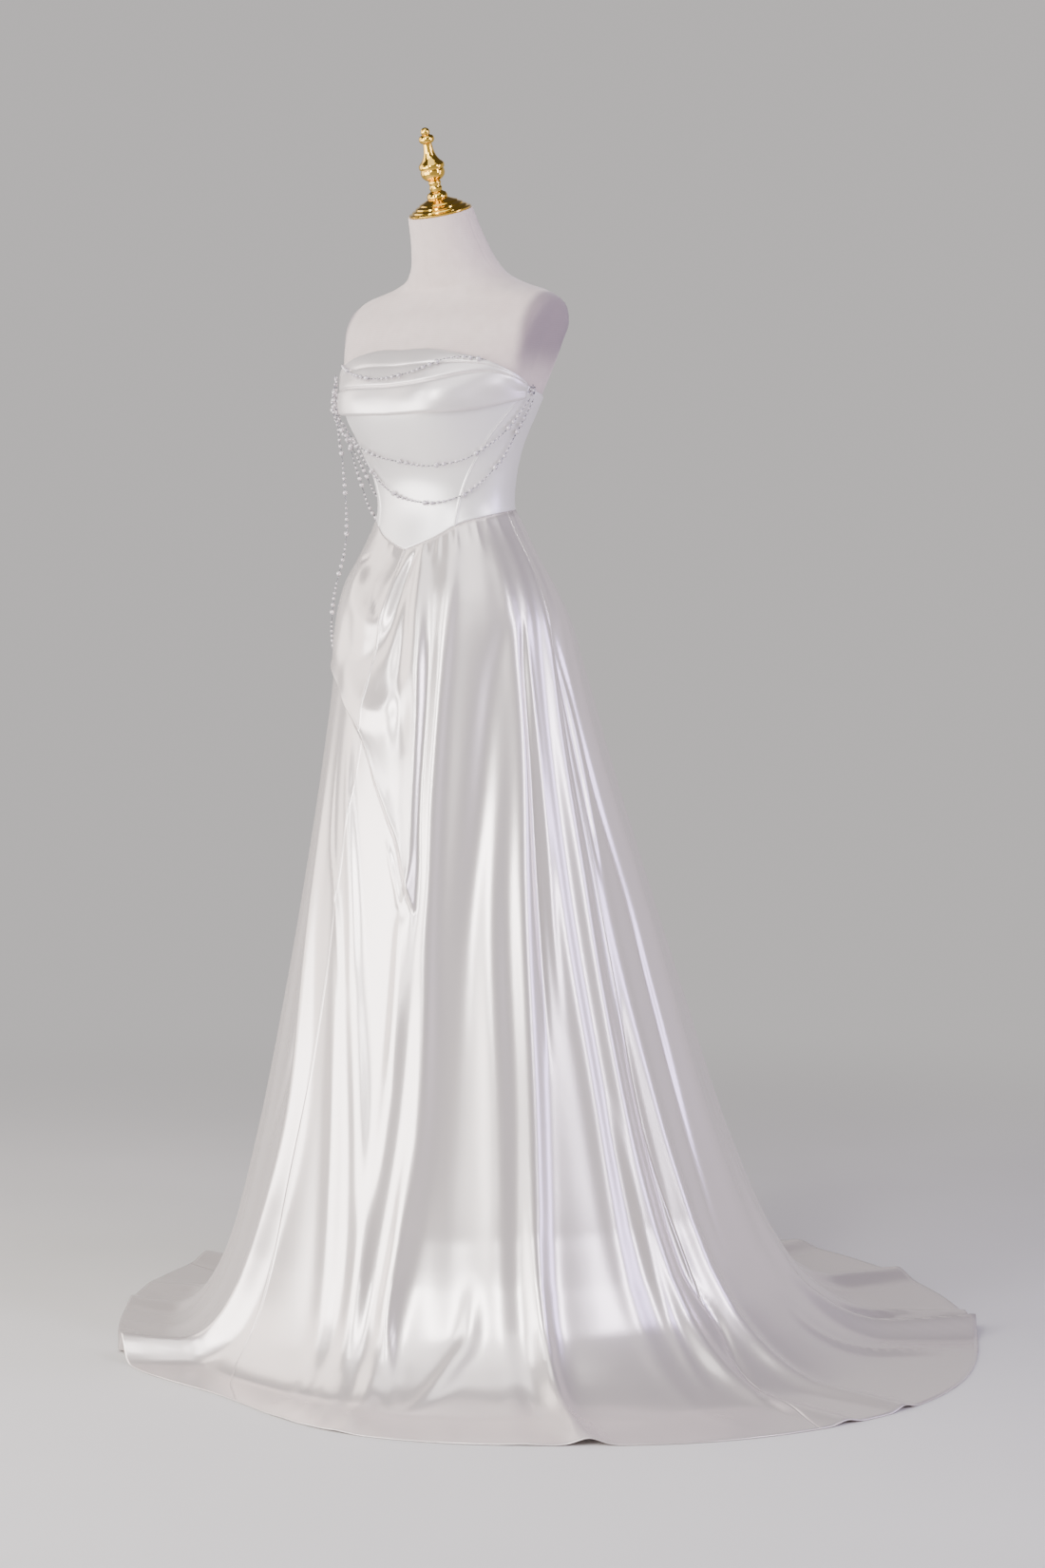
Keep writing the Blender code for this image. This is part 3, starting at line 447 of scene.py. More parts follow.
# floats of 0.25 mm are too fine to show and are drawn about 1.2 mm apart, and
# the cloth creeps a little over a few centimetres
for stretch, detail, strength, deep in (
        ((420.0, 420.0, 30.0), 2.0, 0.06, 0.0002),
        ((14.0, 14.0, 4.0), 3.0, 0.10, 0.004)):
    spread = add_node(tree, "ShaderNodeMapping", values={"Scale": stretch}, links={"Vector": place})
    waves = add_node(tree, "ShaderNodeTexNoise", values={"Scale": 1.0, "Detail": detail},
                     links={"Vector": spread.outputs["Vector"]})
    under = {"Normal": bump.outputs["Normal"]} if bump else {}
    bump = add_node(tree, "ShaderNodeBump", values={"Strength": strength, "Distance": deep},
                    links={"Height": waves.outputs["Fac"], **under})
across = add_node(tree, "ShaderNodeTangent", {"direction_type": "UV_MAP", "uv_map": "weave"})
fill_sockets(tree, shader, None, {"Tangent": across.outputs["Tangent"], "Normal": bump.outputs["Normal"]})


def satin_like(name, colour, metallic, roughness):
    """The same satin with another backing, which changes how its face shines, and with a base colour of its own.
    """
    finish = satin.copy()
    finish.name = name
    fill_sockets(finish.node_tree, finish.node_tree.nodes["Principled BSDF"],
                 {"Base Color": linear(colour), "Metallic": metallic, "Roughness": roughness}, None)
    return finish


# fused to an interlining, its face lies flatter and spreads the light evenly, and its colour is painted lighter
# than the skirt's satin to stand for the brighter light on the bodice
fused_satin = satin_like("fused_satin", "#F5F0EF", 0.50, 0.38)


def give_cloth(piece, finish=satin, inward=True):
    """Finish and thickness of a cloth piece."""
    piece.data.materials.append(finish)
    wall = piece.modifiers.new("cloth", "SOLIDIFY")
    wall.thickness = CLOTH_THICK
    wall.offset = -1.0 if inward else 0.0


def bodice_panel(name, start_seam, end_seam, columns):
    """Panel between two seam lines given as azimuths by share of height."""
    def place(u, v):
        start = start_seam(v)
        end = end_seam(v)
        azimuth = start + (end - start) * crowded(u, 0.5)
        low = waist_height(azimuth)
        height = low + (neckline_height(azimuth) - low) * v
        radius = bodice_radius(azimuth, height)
        trim = np.degrees(0.5 * SEAM_GAP / radius)
        azimuth = np.clip(azimuth, start + trim, end - trim)
        edge = np.minimum(azimuth - start, end - azimuth)
        radius = radius + seam_roll(np.radians(edge) * radius)
        radius = radius + seam_roll(height - low)
        return polar(azimuth, radius, height)

    piece = laid_grid(name + "_cloth", columns, BODICE_ROWS, place)
    give_cloth(piece, fused_satin)
    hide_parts(name)


bodice_panel("bodice_front", lambda v: -princess_azimuth(v), princess_azimuth, 150)
bodice_panel("bodice_side_left", princess_azimuth, side_back_azimuth, 70)
bodice_panel("bodice_side_right", lambda v: -side_back_azimuth(v), lambda v: -princess_azimuth(v), 70)
bodice_panel("bodice_back_left", side_back_azimuth, centre_back_azimuth, 50)
bodice_panel("bodice_back_right", centre_back_azimuth, lambda v: 360.0 - side_back_azimuth(v), 50)


# The bust drape: one bias band laid in three soft folds over the top of the
# bodice, caught in the seams under the arms and along the neckline. The lowest
# fold turns under and stands free of the bodice.

DRAPE_EDGE = [
    (0, 1.309), (30, 1.311), (55, 1.316), (75, 1.326), (90, 1.334),
]
# share of the way down, stand off from the bodice, of the middle of the cloth
DRAPE_SECTION = [
    (0, 0.0018), (0.05, 0.0034), (0.13, 0.0044), (0.22, 0.0044), (0.27, 0.0024), (0.31, 0.0048),
    (0.44, 0.0056), (0.55, 0.0052), (0.6, 0.0024), (0.635, 0.0062), (0.72, 0.0074), (0.84, 0.0082),
    (0.94, 0.009), (0.99, 0.0092), (1.015, 0.007), (1.01, 0.0036),
]
# share at which the deep second crease lies, by azimuth: it climbs to the neckline
CREASE_SHARE = 0.60
LOWEST_SHARE = 1.02
CREASE_CLIMB = [
    (-85, 0.6), (-15, 0.58), (4, 0.567), (28, 0.51), (50, 0.34), (69, 0.17), (85, 0.08),
]
DRAPE_END = 85.0
DRAPE_FULL_HEIGHT = 0.090
# soft slanted pulls across the folds: height, waves by azimuth and share, phase
PULLS = [(0.0005, 0.08, 6.0, 0.0), (0.0003, 0.19, -9.0, 1.0)]


def drape_point(u, v):
    azimuth = DRAPE_END * (2.0 * u - 1.0)
    turn = np.linspace(0.0, 1.0, len(DRAPE_SECTION))
    share = smooth(turn, column(DRAPE_SECTION, 0), 1.0 - v)
    stand = smooth(turn, column(DRAPE_SECTION, 1), 1.0 - v)
    crease = smooth(column(CREASE_CLIMB, 0), column(CREASE_CLIMB, 1), azimuth)
    below = (share - CREASE_SHARE) / (LOWEST_SHARE - CREASE_SHARE)
    share = np.where(share < CREASE_SHARE, share * crease / CREASE_SHARE,
                     crease + below * (LOWEST_SHARE - crease))
    top = neckline_height(azimuth)
    tall = top - by_azimuth(DRAPE_EDGE, azimuth)
    height = top - share * tall
    least = DRAPE_SECTION[0][1]
    full = np.clip(tall / DRAPE_FULL_HEIGHT, 0.0, 1.0)
    within = np.sin(math.pi * np.clip(share, 0.0, 1.0))
    pull = sum(high * np.sin(azimuth * turning + share * falling + phase)
               for high, turning, falling, phase in PULLS)
    radius = bodice_radius(azimuth, height) + least + (stand - least) * full + pull * within
    return polar(azimuth, radius, height)


# the band is lined with organza, which softens its highlights
draped_satin = satin_like("lined_satin", "#E9E1E0", 0.52, 0.34)
drape = laid_grid("bust_drape_cloth", 220, 130, drape_point)
give_cloth(drape, draped_satin, inward=False)
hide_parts("bust_drape")


# The skirt: four gores of the same satin, gathered a little into the waist
# seam, a swag over the wearer's right hip and a sweep train. They hang in
# long tapering folds and lie on the floor round the hem, which is turned up.

WAIST_TOP = 1.180
WAIST_FADE = 0.200
FOOT_START = 0.140
FLOOR_LIFT = 0.0020
# height and radius by azimuth 0, 45, 90 and so on round to 315, in mm
SKIRT_SECTIONS = thousandths([
    (1180, 88, 94, 106, 99, 92, 99, 106, 94),
    (1150, 96, 105, 117, 112, 104, 112, 117, 103),
    (1120, 106, 118, 134, 126, 118, 124, 131, 116),
    (1080, 122, 136, 156, 149, 142, 145, 152, 137),
    (1030, 140, 153, 177, 173, 166, 161, 166, 148),
    (960, 160, 174, 194, 195, 190, 181, 175, 151),
    (840, 187, 204, 224, 229, 232, 212, 191, 167),
    (660, 222, 246, 272, 284, 294, 262, 220, 194),
    (480, 258, 290, 322, 341, 358, 312, 253, 225),
    (300, 294, 334, 376, 399, 420, 365, 292, 259),
    (140, 330, 378, 432, 462, 485, 418, 332, 297),
], range(9))
# outline of the hem on the floor: azimuth, radius
HEM = [
    (0, 0.481), (26, 0.58), (52, 0.645), (71, 0.712), (95, 0.768), (120, 0.763), (150, 0.77), (180, 0.785),
    (210, 0.745), (235, 0.67), (252, 0.612), (275, 0.537), (298, 0.483), (316, 0.471), (331, 0.485),
]
# course, share of the way from foot to hem, height
FOOT = [
    (1, 0, 0.14), (1.05, 0.11, 0.084), (1.1, 0.24, 0.043), (1.16, 0.39, 0.017), (1.22, 0.54, 0.004),
    (1.3, 0.76, 0.002), (1.4, 1, 0.002),
]
# panel seams: azimuth at each of the courses
SEAM_COURSES = [0.00, 0.25, 0.50, 0.80, 1.05, 1.15, 1.40]
FRONT_SEAM = [0.0, -1.0, -3.0, -6.0, -10.0, -10.0, 3.5]
LEFT_SEAM = [95.0, 90.0, 88.0, 86.5, 87.5, 85.0, 78.5]
RIGHT_SEAM = [-95.0, -95.0, -95.0, -95.0, -95.0, -96.0, -98.0]
BACK_SEAM = [180.0] * 7
# folds: azimuth at six courses, half width high and low and lift at the six
# courses in mm
FOLD_COURSES = [0.00, 0.25, 0.50, 0.80, 1.05, 1.40]
FOLDS = thousandths([
    (-45, -42, -40, -38, -42, -60, 16, 28, 2, 3, 4, 6, 6, 0),
    (-32, -34, -23, -11, -18, -31, 13, 22, 2, 2, 8, 16, 26, 36),
    (-16, -18, -3, 7, 11, 12, 12, 18, 2, 1, 5, 8, 6, 0),
    (-5, -12, 3, 15, 19, 20, 12, 18, 2, 1, 5, 9, 7, 1),
    (18, 26, 27, 23, 18, 15, 12, 17, 3, 7, 8, 8, 6, 1),
    (44, 35, 32, 31, 26, 24, 12, 19, 2, 6, 8, 10, 10, 2),
    (60, 62, 53, 51, 49, 47, 14, 24, 2, 1, 4, 7, 6, 1),
    (72, 69, 62, 58, 55, 54, 14, 20, 2, 7, 11, 14, 16, 9),
    (84, 77, 74, 74, 73, 72, 11, 16, 2, 4, 4, 5, 3, 0),
    (96, 85, 82, 81, 82, 82, 11, 17, 2, 5, 8, 9, 11, 5),
    (106, 97, 91, 91, 92, 90, 12, 16, 2, 2, 3, 8, 12, 6),
    (115, 107, 112, 111, 113, 116, 14, 40, 2, 4, 7, 9, 6, 1),
    (121, 121, 121, 121, 120, 124, 14, 30, 0, 0, 0, 3, 16, 26),
    (130, 129, 131, 132, 132, 131, 14, 28, 2, 4, 6, 8, 10, 8),
    (147, 149, 150, 151, 151, 152, 14, 32, 2, 6, 10, 13, 17, 12),
    (166, 168, 169, 170, 170, 171, 14, 28, 2, 5, 8, 11, 14, 8),
    (-173, -170, -170, -169, -169, -168, 14, 32, 2, 6, 10, 13, 17, 10),
    (-154, -151, -149, -147, -147, -147, 14, 28, 2, 6, 9, 11, 16, 14),
    (-134, -131, -129, -126, -125, -124, 14, 30, 2, 5, 9, 12, 12, 4),
    (-114, -112, -109, -106, -104, -102, 14, 26, 2, 5, 8, 11, 15, 12),
    (-94, -92, -89, -86, -85, -84, 14, 26, 2, 5, 8, 9, 9, 2),
    (-72, -71, -68, -64, -66, -72, 14, 24, 2, 3, 6, 8, 10, 6),
], range(6, 14))
# lower edge of the swag over the wearer's right hip: azimuth, course
SWAG_EDGE = [
    (-120, 0.18), (-60, 0.21), (-30, 0.24), (-16, 0.266), (3, 0.323), (10, 0.367), (16, 0.407),
    (21, 0.446), (25, 0.5), (28, 0.53),
]
SWAG_LIFT = 0.008
SWAG_START = 0.10
SWAG_MOST = 1.3
SWAG_SIDES = (-75.0, -50.0, 25.5, 28.5)
# section of the swag's folded edge: distance above it, share of the lift
SWAG_FOLD = [
    (-0.004, 0), (-0.0022, -0.32), (0, 0.2), (0.0016, 0.95), (0.004, 1.22), (0.008, 1.12), (0.018, 0.98),
    (0.04, 0.94),
]
# small creases: azimuth, course in thousandths, half width and lift in mm,
# along each one
CREASES = {
    "upper loop of the swag": [
        (-56, 42, 9, 0), (-34, 79, 15, 4), (-24, 126, 19, 5), (-13.5, 143, 19, 4), (-3, 147, 16, 3.5),
        (1, 124, 12, 3.5), (2, 82, 9, 3), (5, 37, 7, 2), (9, 12, 6, 0)],
    "hollow between the loops": [
        (-34, 160, 14, 0), (-11.5, 200, 18, -3), (0.5, 190, 17, -4), (6, 160, 13, -5), (7.5, 117, 10, -6),
        (9, 70, 8, -5), (12, 30, 6, -3), (13, 10, 5, 0)],
    "lower loop of the swag": [
        (-60, 165, 14, 0), (-36, 200, 18, 3), (-9, 248, 20, 4), (3, 270, 20, 5), (13.5, 262, 18, 4),
        (19.5, 225, 15, 3), (22, 170, 13, 0)],
    "hollow beside the first fold": [
        (20, 330, 10, 0), (18, 280, 13, -4), (15.5, 200, 12, -5), (14.5, 120, 9, -4), (15, 60, 7, -2),
        (17, 20, 6, 0)],
    "crease over the hip": [(-34, 45, 4, 0), (-45, 62, 4, -3), (-56, 79, 4, -3), (-66, 90, 4, 0)],
    "inner edge at the point of the swag": [
        (16, 437, 3, 0), (18.5, 463, 4, 2.5), (21.5, 500, 4, 3), (23.5, 524, 5, 3), (25.5, 500, 5, 3),
        (27, 450, 5, 0)],
    "fold below the point of the swag": [
        (24, 525, 6, 0), (23.5, 560, 8, 4), (23.5, 664, 9, 4), (23, 760, 10, 0)],
    "hollow between first and second fold": [
        (32, 160, 8, 0), (31, 240, 8, -3), (29.5, 380, 8, -4), (30, 500, 8, -3), (28, 620, 9, 0)],
    "hollow before the third fold": [
        (75, 120, 9, 0), (62, 200, 14, -2), (55, 300, 18, -4), (49, 450, 22, -5), (44, 600, 28, -5),
        (41, 800, 32, -6), (40, 1000, 34, -4), (40, 1180, 34, 0)],
    "crease behind the third fold": [
        (76, 140, 3, 0), (72.5, 220, 4, -3), (70, 330, 4, -4), (67.5, 460, 5, -4), (65.5, 600, 5, -3),
        (64, 740, 6, 0)],
    "first thin ridge": [
        (77.5, 133, 4, 0), (75, 234, 5, 2.5), (73.5, 334, 6, 2.5), (71.5, 456, 7, 2.5), (70, 554, 6, 2),
        (69, 680, 7, 0)],
    "second thin ridge": [
        (95, 108, 4, 0), (88, 210, 6, 2), (85, 334, 6, 2), (84, 458, 7, 1.5), (83, 600, 7, 0)],
    "first dark crease": [
        (94.5, 63, 4, 0), (91, 152, 5, -2), (92, 234, 6, -3), (92, 339, 6, -3), (91.5, 420, 4, -3),
        (90.5, 500, 5, 0)],
    "second dark crease": [
        (92, 150, 4, 0), (96.5, 245, 6, -3), (99, 388, 7, -4), (102, 521, 8, -4), (102, 622, 6, -5),
        (101.5, 732, 7, -5), (100.5, 881, 7, -3), (99.5, 990, 7, 0)],
    "third dark crease": [
        (87, 640, 5, 0), (86.5, 760, 6, -4), (86.7, 900, 7, -5), (87, 1000, 7, -5), (88.5, 1059, 7, -5),
        (86, 1124, 7, -4), (82.5, 1213, 7, -3), (79, 1330, 7, 0)],
    "short ridge": [(78, 760, 8, 0), (79, 880, 9, 3), (79, 1000, 9, 4), (78, 1090, 9, 3), (77, 1180, 9, 0)],
    "left outer crease": [(-31, 524, 6, 0), (-20.5, 657, 7, -4), (-20, 725, 7, -5), (-30, 860, 9, 0)],
    "high left ridge": [(-9.5, 300, 7, 0), (-2, 404, 9, 4), (6, 540, 9, 3), (9, 640, 9, 0)],
    "thin left ridge": [(-22, 300, 4, 0), (-13, 440, 5, 3), (-2, 530, 5, 3), (6, 660, 6, 0)],
    "foot crease by the front": [
        (29, 820, 8, 0), (27.5, 940, 9, 4), (26, 1030, 10, 5), (27.5, 1100, 10, 4), (29.5, 1220, 10, 0)],
    "foot crease by the camera": [
        (56, 900, 9, 0), (55.5, 1030, 9, 4), (55, 1120, 8, 6), (54.5, 1240, 8, 6), (53, 1360, 8, 2),
        (52, 1390, 8, 0)],
    "turn at the foot": [
        (44, 980, 12, 0), (42, 1060, 14, 5), (39, 1100, 14, 6), (35, 1160, 12, 4), (31, 1220, 10, 0)],
    "first train crease": [
        (118, 1020, 8, 0), (122, 1100, 9, -5), (128, 1180, 9, -6), (131, 1290, 9, -5), (130, 1380, 9, 0)],
    "second train crease": [(108, 1080, 8, 0), (109, 1160, 8, 4), (112, 1260, 8, 5), (114, 1360, 8, 0)],
}
# gathers below the waist seam: azimuth, length in thousandths of a course, lift in mm
GATHERS = thousandths([
    (20, 60, 1.6), (28, 45, 1.2), (33, 70, 1.8), (41, 38, 1.1), (47, 55, 1.5), (56, 42, 1), (63, 60, 1.3),
    (72, 35, 0.9), (81, 50, 1.2), (104, 45, 1.2), (116, 60, 1.6), (127, 40, 1.1), (139, 65, 1.7),
    (152, 45, 1.3), (163, 60, 1.6), (174, 40, 1.2), (-171, 55, 1.5), (-158, 42, 1.2), (-146, 62, 1.6),
    (-133, 45, 1.2), (-121, 58, 1.5), (-108, 40, 1.1), (-97, 50, 1.3), (-12, 35, 1), (-22, 30, 0.9),
], (1,))
GATHER_WIDTH = 4.0
COURSE_LONG = 1.04
# a crease reaches out this far for each mm of its half width
CREASE_REACH = 0.003
LEAST_RADIUS = 0.09
# courses over which the skirt leaves the bodice's shape and its folds begin
SEAM_BLEND = 0.05
FOLD_START = 0.03
# share of the bodice seams' roll that the skirt seams have
SKIRT_SEAM = 0.6


def round_table(table, azimuth):
    """Value of a table that runs all the way round."""
    keys = column(table, 0)
    values = column(table, 1)
    keys = [k - 360.0 for k in keys[-2:]] + keys + [k + 360.0 for k in keys[:2]]
    return smooth(keys, values[-2:] + values + values[:2], np.asarray(azimuth, float) % 360.0)


def around(ring, azimuth):
    """Smooth value at an azimuth from eight values round a ring."""
    turn = np.asarray(azimuth, float) % 360.0 / 45.0
    i = np.floor(turn).astype(int)
    t = turn - i
    pick = np.arange(turn.size)
    a, b, c, d = [ring[(i + k) % 8, pick] for k in (-1, 0, 1, 2)]
    return b + 0.5 * t * (c - a + t * (2 * a - 5 * b + 4 * c - d + t * (3 * b - a - 3 * c + d)))


def skirt_height(azimuth, course):
    """Height of the cloth on a course from the waist (0) to the foot (1)."""
    level = WAIST_TOP - np.minimum(course, 1.0) * (WAIST_TOP - FOOT_START)
    fade = np.clip(1.0 - (WAIST_TOP - level) / WAIST_FADE, 0.0, 1.0) ** 2
    upper = level + (waist_height(azimuth) - WAIST_TOP) * fade
    foot = smooth(column(FOOT, 0), column(FOOT, 2), course)
    return np.where(course < 1.0, upper, np.maximum(foot, FLOOR_LIFT))


def skirt_radius(azimuth, course):
    """Distance of the cloth from the pole before its folds."""
    level = WAIST_TOP - np.minimum(course, 1.0) * (WAIST_TOP - FOOT_START)
    rows = SKIRT_SECTIONS[::-1]
    ring = np.stack([smooth(column(rows, 0), column(rows, k), level) for k in range(1, 9)])
    top_ring = np.stack([rows[-1][k] + 0.0 * level for k in range(1, 9)])
    fade = np.clip(1.0 - course / SEAM_BLEND, 0.0, 1.0)
    seam_fit = bodice_radius(azimuth, waist_height(azimuth)) - around(top_ring, azimuth)
    upper = around(ring, azimuth) + seam_fit * fade
    share = smooth(column(FOOT, 0), column(FOOT, 1), course)
    return upper + (round_table(HEM, azimuth) - upper) * np.where(course > 1.0, share, 0.0)


def swag_course(azimuth):
    return smooth(column(SWAG_EDGE, 0), column(SWAG_EDGE, 1), turned_by(azimuth, 0.0))


def crease_lift(rows, azimuth, course, radius):
    """Lift of one crease, by distance from the smooth line through its rows."""
    lift = np.zeros_like(radius)
    middle = rows[len(rows) // 2][0]
    along = np.arange(len(rows))
    steps = np.linspace(0.0, len(rows) - 1.0, 5 * len(rows) - 4)
    turn, level, wide, high = [smooth(along, column(rows, k), steps) for k in range(4)]
    turn = turn - middle
    reach = CREASE_REACH * max(wide)
    beside = turned_by(azimuth, middle)
    spare = np.degrees(reach / LEAST_RADIUS)
    near = (course > min(level) - reach) & (course < max(level) + reach)
    near &= (beside > min(turn) - spare) & (beside < max(turn) + spare)
    across = radius[near]
    aside = np.radians(beside[near]) * across
    down = course[near] * COURSE_LONG
    best = np.full(across.shape, 9.0)
    place = np.zeros_like(best)
    for k in range(len(steps) - 1):
        x0, x1 = np.radians(turn[k]) * across, np.radians(turn[k + 1]) * across
        y0, y1 = level[k] * COURSE_LONG, level[k + 1] * COURSE_LONG
        share = ((aside - x0) * (x1 - x0) + (down - y0) * (y1 - y0)) / ((x1 - x0) ** 2 + (y1 - y0) ** 2)
        share = np.clip(share, 0.0, 1.0)
        away = np.hypot(aside - x0 - share * (x1 - x0), down - y0 - share * (y1 - y0))
        place = np.where(away < best, steps[k] + share * (steps[k + 1] - steps[k]), place)
        best = np.minimum(best, away)
    width = 0.001 * np.interp(place, steps, wide)
    lift[near] = 0.001 * np.interp(place, steps, high) * np.exp(-(best / width) ** 2)
    return lift


def swag_lift(azimuth, course, radius):
    """Lift of the swag, with its lower edge folded under."""
    folded = turned_by(azimuth, 0.0)
    edge = swag_course(azimuth)
    slope = np.degrees(swag_course(azimuth + 0.5) - swag_course(azimuth - 0.5)) * COURSE_LONG / radius
    above = (edge - course) * COURSE_LONG / np.hypot(1.0, slope)
    share = np.interp(above, column(SWAG_FOLD, 0), column(SWAG_FOLD, 1))
    inside = np.interp(folded, SWAG_SIDES, (0.0, 1.0, 1.0, 0.0))
    grown = np.clip((course - SWAG_START) / (edge - SWAG_START), 0.0, SWAG_MOST)
    return SWAG_LIFT * inside * grown * share


def fold_lift(azimuth, course, radius):
    """How far the folds and creases stand out of the plain form."""
    lift = np.zeros_like(radius)
    for row in FOLDS:
        centre = np.degrees(smooth(FOLD_COURSES, np.unwrap(np.radians(row[0:6])), course))
        width = row[6] + (row[7] - row[6]) * np.clip(course, 0.0, 1.0)
        away = np.radians(turned_by(azimuth, centre)) * radius / width
        lift = lift + smooth(FOLD_COURSES, row[8:14], course) * np.exp(-away ** 2)
    lift = np.maximum(lift, 0.0) * np.clip(course / FOLD_START, 0.0, 1.0)
    for rows in CREASES.values():
        lift = lift + crease_lift(thousandths(rows, (1,)), azimuth, course, radius)
    for turn, long, high in GATHERS:
        rows = [(turn, 0.001, GATHER_WIDTH, 0.5 * high), (turn, 0.4 * long, GATHER_WIDTH, high),
                (turn + 0.5, long, 2.0 * GATHER_WIDTH, 0.0)]
        lift = lift + crease_lift(rows, azimuth, course, radius)
    return lift + swag_lift(azimuth, course, radius)


# the cloth bends softly over this much of a course where it meets the floor
FOOT_EASE = 0.06
EASE_SHARE = 0.6
FOOT_REACH = (0.85, 0.95, 1.12, 1.22)
# courses and the way the folds stand out there: outward above, upward on the floor
LEAN_COURSES = (0.0, 0.9, 1.2)
LEANS = (0.30, 0.35, 0.5 * math.pi)


def eased(curve, azimuth, course):
    """Value of a curve with its bend above the foot made softer."""
    plain = curve(azimuth, course)
    beside = 0.5 * (curve(azimuth, course - FOOT_EASE) + curve(azimuth, course + FOOT_EASE))
    return plain + (beside - plain) * EASE_SHARE * np.interp(course, FOOT_REACH, (0.0, 1.0, 1.0, 0.0))


def skirt_point(azimuth, course, seam_lift=0.0):
    """A point of the skirt's outer face."""
    radius = eased(skirt_radius, azimuth, course)
    lift = fold_lift(azimuth, course, radius) + seam_lift
    lean = np.interp(course, LEAN_COURSES, LEANS)
    height = eased(skirt_height, azimuth, course) + lift * np.sin(lean)
    return polar(azimuth, radius + lift * np.cos(lean), height)


# rows crowd about the swag's edge, which lies on one row at this share
EDGE_ROW = 0.37
PLAIN_ROW = 0.80
SWAG_ROWS = (-100.0, -75.0, 28.0, 60.0)
LAST_ROW = 1.4001
DENSE_ROWS = (0.345, 0.3851)


def row_course(azimuth, row):
    """Course of a row of points, bent so that one row follows the swag's edge."""
    folded = turned_by(azimuth, 0.0)
    use = np.interp(folded, SWAG_ROWS, (0.0, 1.0, 1.0, 0.0))
    edge = EDGE_ROW + (swag_course(azimuth) - EDGE_ROW) * use
    below = edge + (row - EDGE_ROW) * (PLAIN_ROW - edge) / (PLAIN_ROW - EDGE_ROW)
    return np.where(row < EDGE_ROW, row * edge / EDGE_ROW, np.where(row < PLAIN_ROW, below, row))


def skirt_gore(name, start_seam, end_seam, columns, row_step):
    """Gore between two seam lines given as azimuths by course."""
    rows = np.concatenate((np.arange(0.0, LAST_ROW, row_step), np.arange(*DENSE_ROWS, 0.25 * row_step)))
    rows = np.unique(np.round(rows, 6))

    def place(u, v):
        row = rows[np.rint((1.0 - v) * (len(rows) - 1)).astype(int)]
        course = row
        for _ in range(3):
            start = smooth(SEAM_COURSES, start_seam, course)
            end = smooth(SEAM_COURSES, end_seam, course)
            end = end + 360.0 * (end < start)
            azimuth = start + (end - start) * crowded(u, 0.5)
            course = row_course(azimuth, row)
        radius = skirt_radius(azimuth, course)
        trim = np.degrees(0.5 * SEAM_GAP / radius)
        azimuth = np.clip(azimuth, start + trim, end - trim)
        edge = np.radians(np.minimum(azimuth - start, end - azimuth)) * radius
        return skirt_point(azimuth, course, SKIRT_SEAM * seam_roll(edge))

    piece = laid_grid(name + "_cloth", columns, len(rows) - 1, place)
    give_cloth(piece)
    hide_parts(name)


skirt_gore("skirt_front_right", RIGHT_SEAM, FRONT_SEAM, 150, 0.007)
skirt_gore("skirt_front_left", FRONT_SEAM, LEFT_SEAM, 220, 0.007)
skirt_gore("skirt_back_left", LEFT_SEAM, BACK_SEAM, 140, 0.010)
skirt_gore("skirt_back_right", BACK_SEAM, RIGHT_SEAM, 130, 0.010)


# The strands: graded pearls and small crystals threaded on fine steel wire.
# They are hooked under the drape at the right bust and under the left arm,
# three lie in swags over the bodice and three hang free at the right side.

# azimuth and height in mm of the strands that lie on the dress
STRAND_TOP = [
    (-58, 1384), (-50, 1380), (-23, 1364), (-8, 1358), (5, 1360), (19, 1367), (30, 1377), (42, 1386),
    (52, 1386), (61, 1382),
]
STRAND_MIDDLE = [
    (88, 1331), (84, 1315), (80, 1297), (76, 1285), (71, 1273), (63, 1260), (56, 1250), (40, 1241),
    (23, 1238), (0, 1244), (-17, 1250), (-30, 1259), (-41, 1272), (-48, 1292), (-51, 1314), (-52, 1342),
    (-52, 1364),
]
STRAND_LOW = [
    (91, 1331), (89.5, 1318), (87, 1298), (84, 1276), (80, 1250), (75, 1236), (70, 1222), (62, 1208),
    (54, 1198), (44, 1192), (31, 1187), (21, 1187), (2, 1191), (-17, 1199), (-34, 1213), (-45, 1228),
    (-52, 1246), (-57, 1265), (-61, 1288), (-62.5, 1315), (-62.5, 1345), (-62, 1370),
]
# azimuth, radius and height in mm of the loops that hang free
LOOP_LONG = [
    (-73, 165, 1366), (-73, 165, 1345), (-73, 164, 1320), (-70, 159, 1288), (-66, 150, 1250),
    (-63, 145, 1212), (-62, 142, 1175), (-61, 142, 1140), (-62, 147, 1110), (-63, 155, 1085),
    (-66, 165, 1045), (-71, 172, 1002), (-82, 180, 972), (-95, 185, 960), (-107, 188, 970),
    (-117, 187, 1010), (-124, 178, 1070), (-129, 168, 1150), (-134, 158, 1230), (-140, 145, 1290),
    (-147, 120.8, 1326),
]
LOOP_MIDDLE = [
    (-67.5, 161, 1371), (-67.5, 161, 1345), (-67.5, 162, 1322), (-67, 156, 1302), (-66, 143, 1280),
    (-66.5, 136, 1259), (-69, 133, 1242), (-76, 130, 1216), (-83, 128, 1187), (-90, 128, 1171),
    (-100, 129, 1164), (-110, 129, 1166), (-120, 129, 1182), (-128, 131, 1212), (-134, 135, 1250),
    (-139, 137, 1290), (-142, 122.9, 1325),
]
LOOP_SHORT = [
    (-57, 154, 1371), (-57, 157, 1345), (-57, 160, 1322), (-57, 154, 1302), (-57.5, 140, 1280),
    (-62.5, 130, 1261), (-71, 125, 1242), (-78, 123, 1226), (-84, 122, 1209), (-91, 122, 1198),
    (-102, 123, 1191), (-113, 123, 1194), (-123, 125, 1212), (-131, 127, 1245), (-135, 131, 1285),
    (-136, 126.3, 1324),
]
STRAND_RADIUS = 0.0025
BODY_CLEARANCE = 0.0020
DRAPE_CLEARANCE = 0.0008
SLOPE_STEP = 0.002
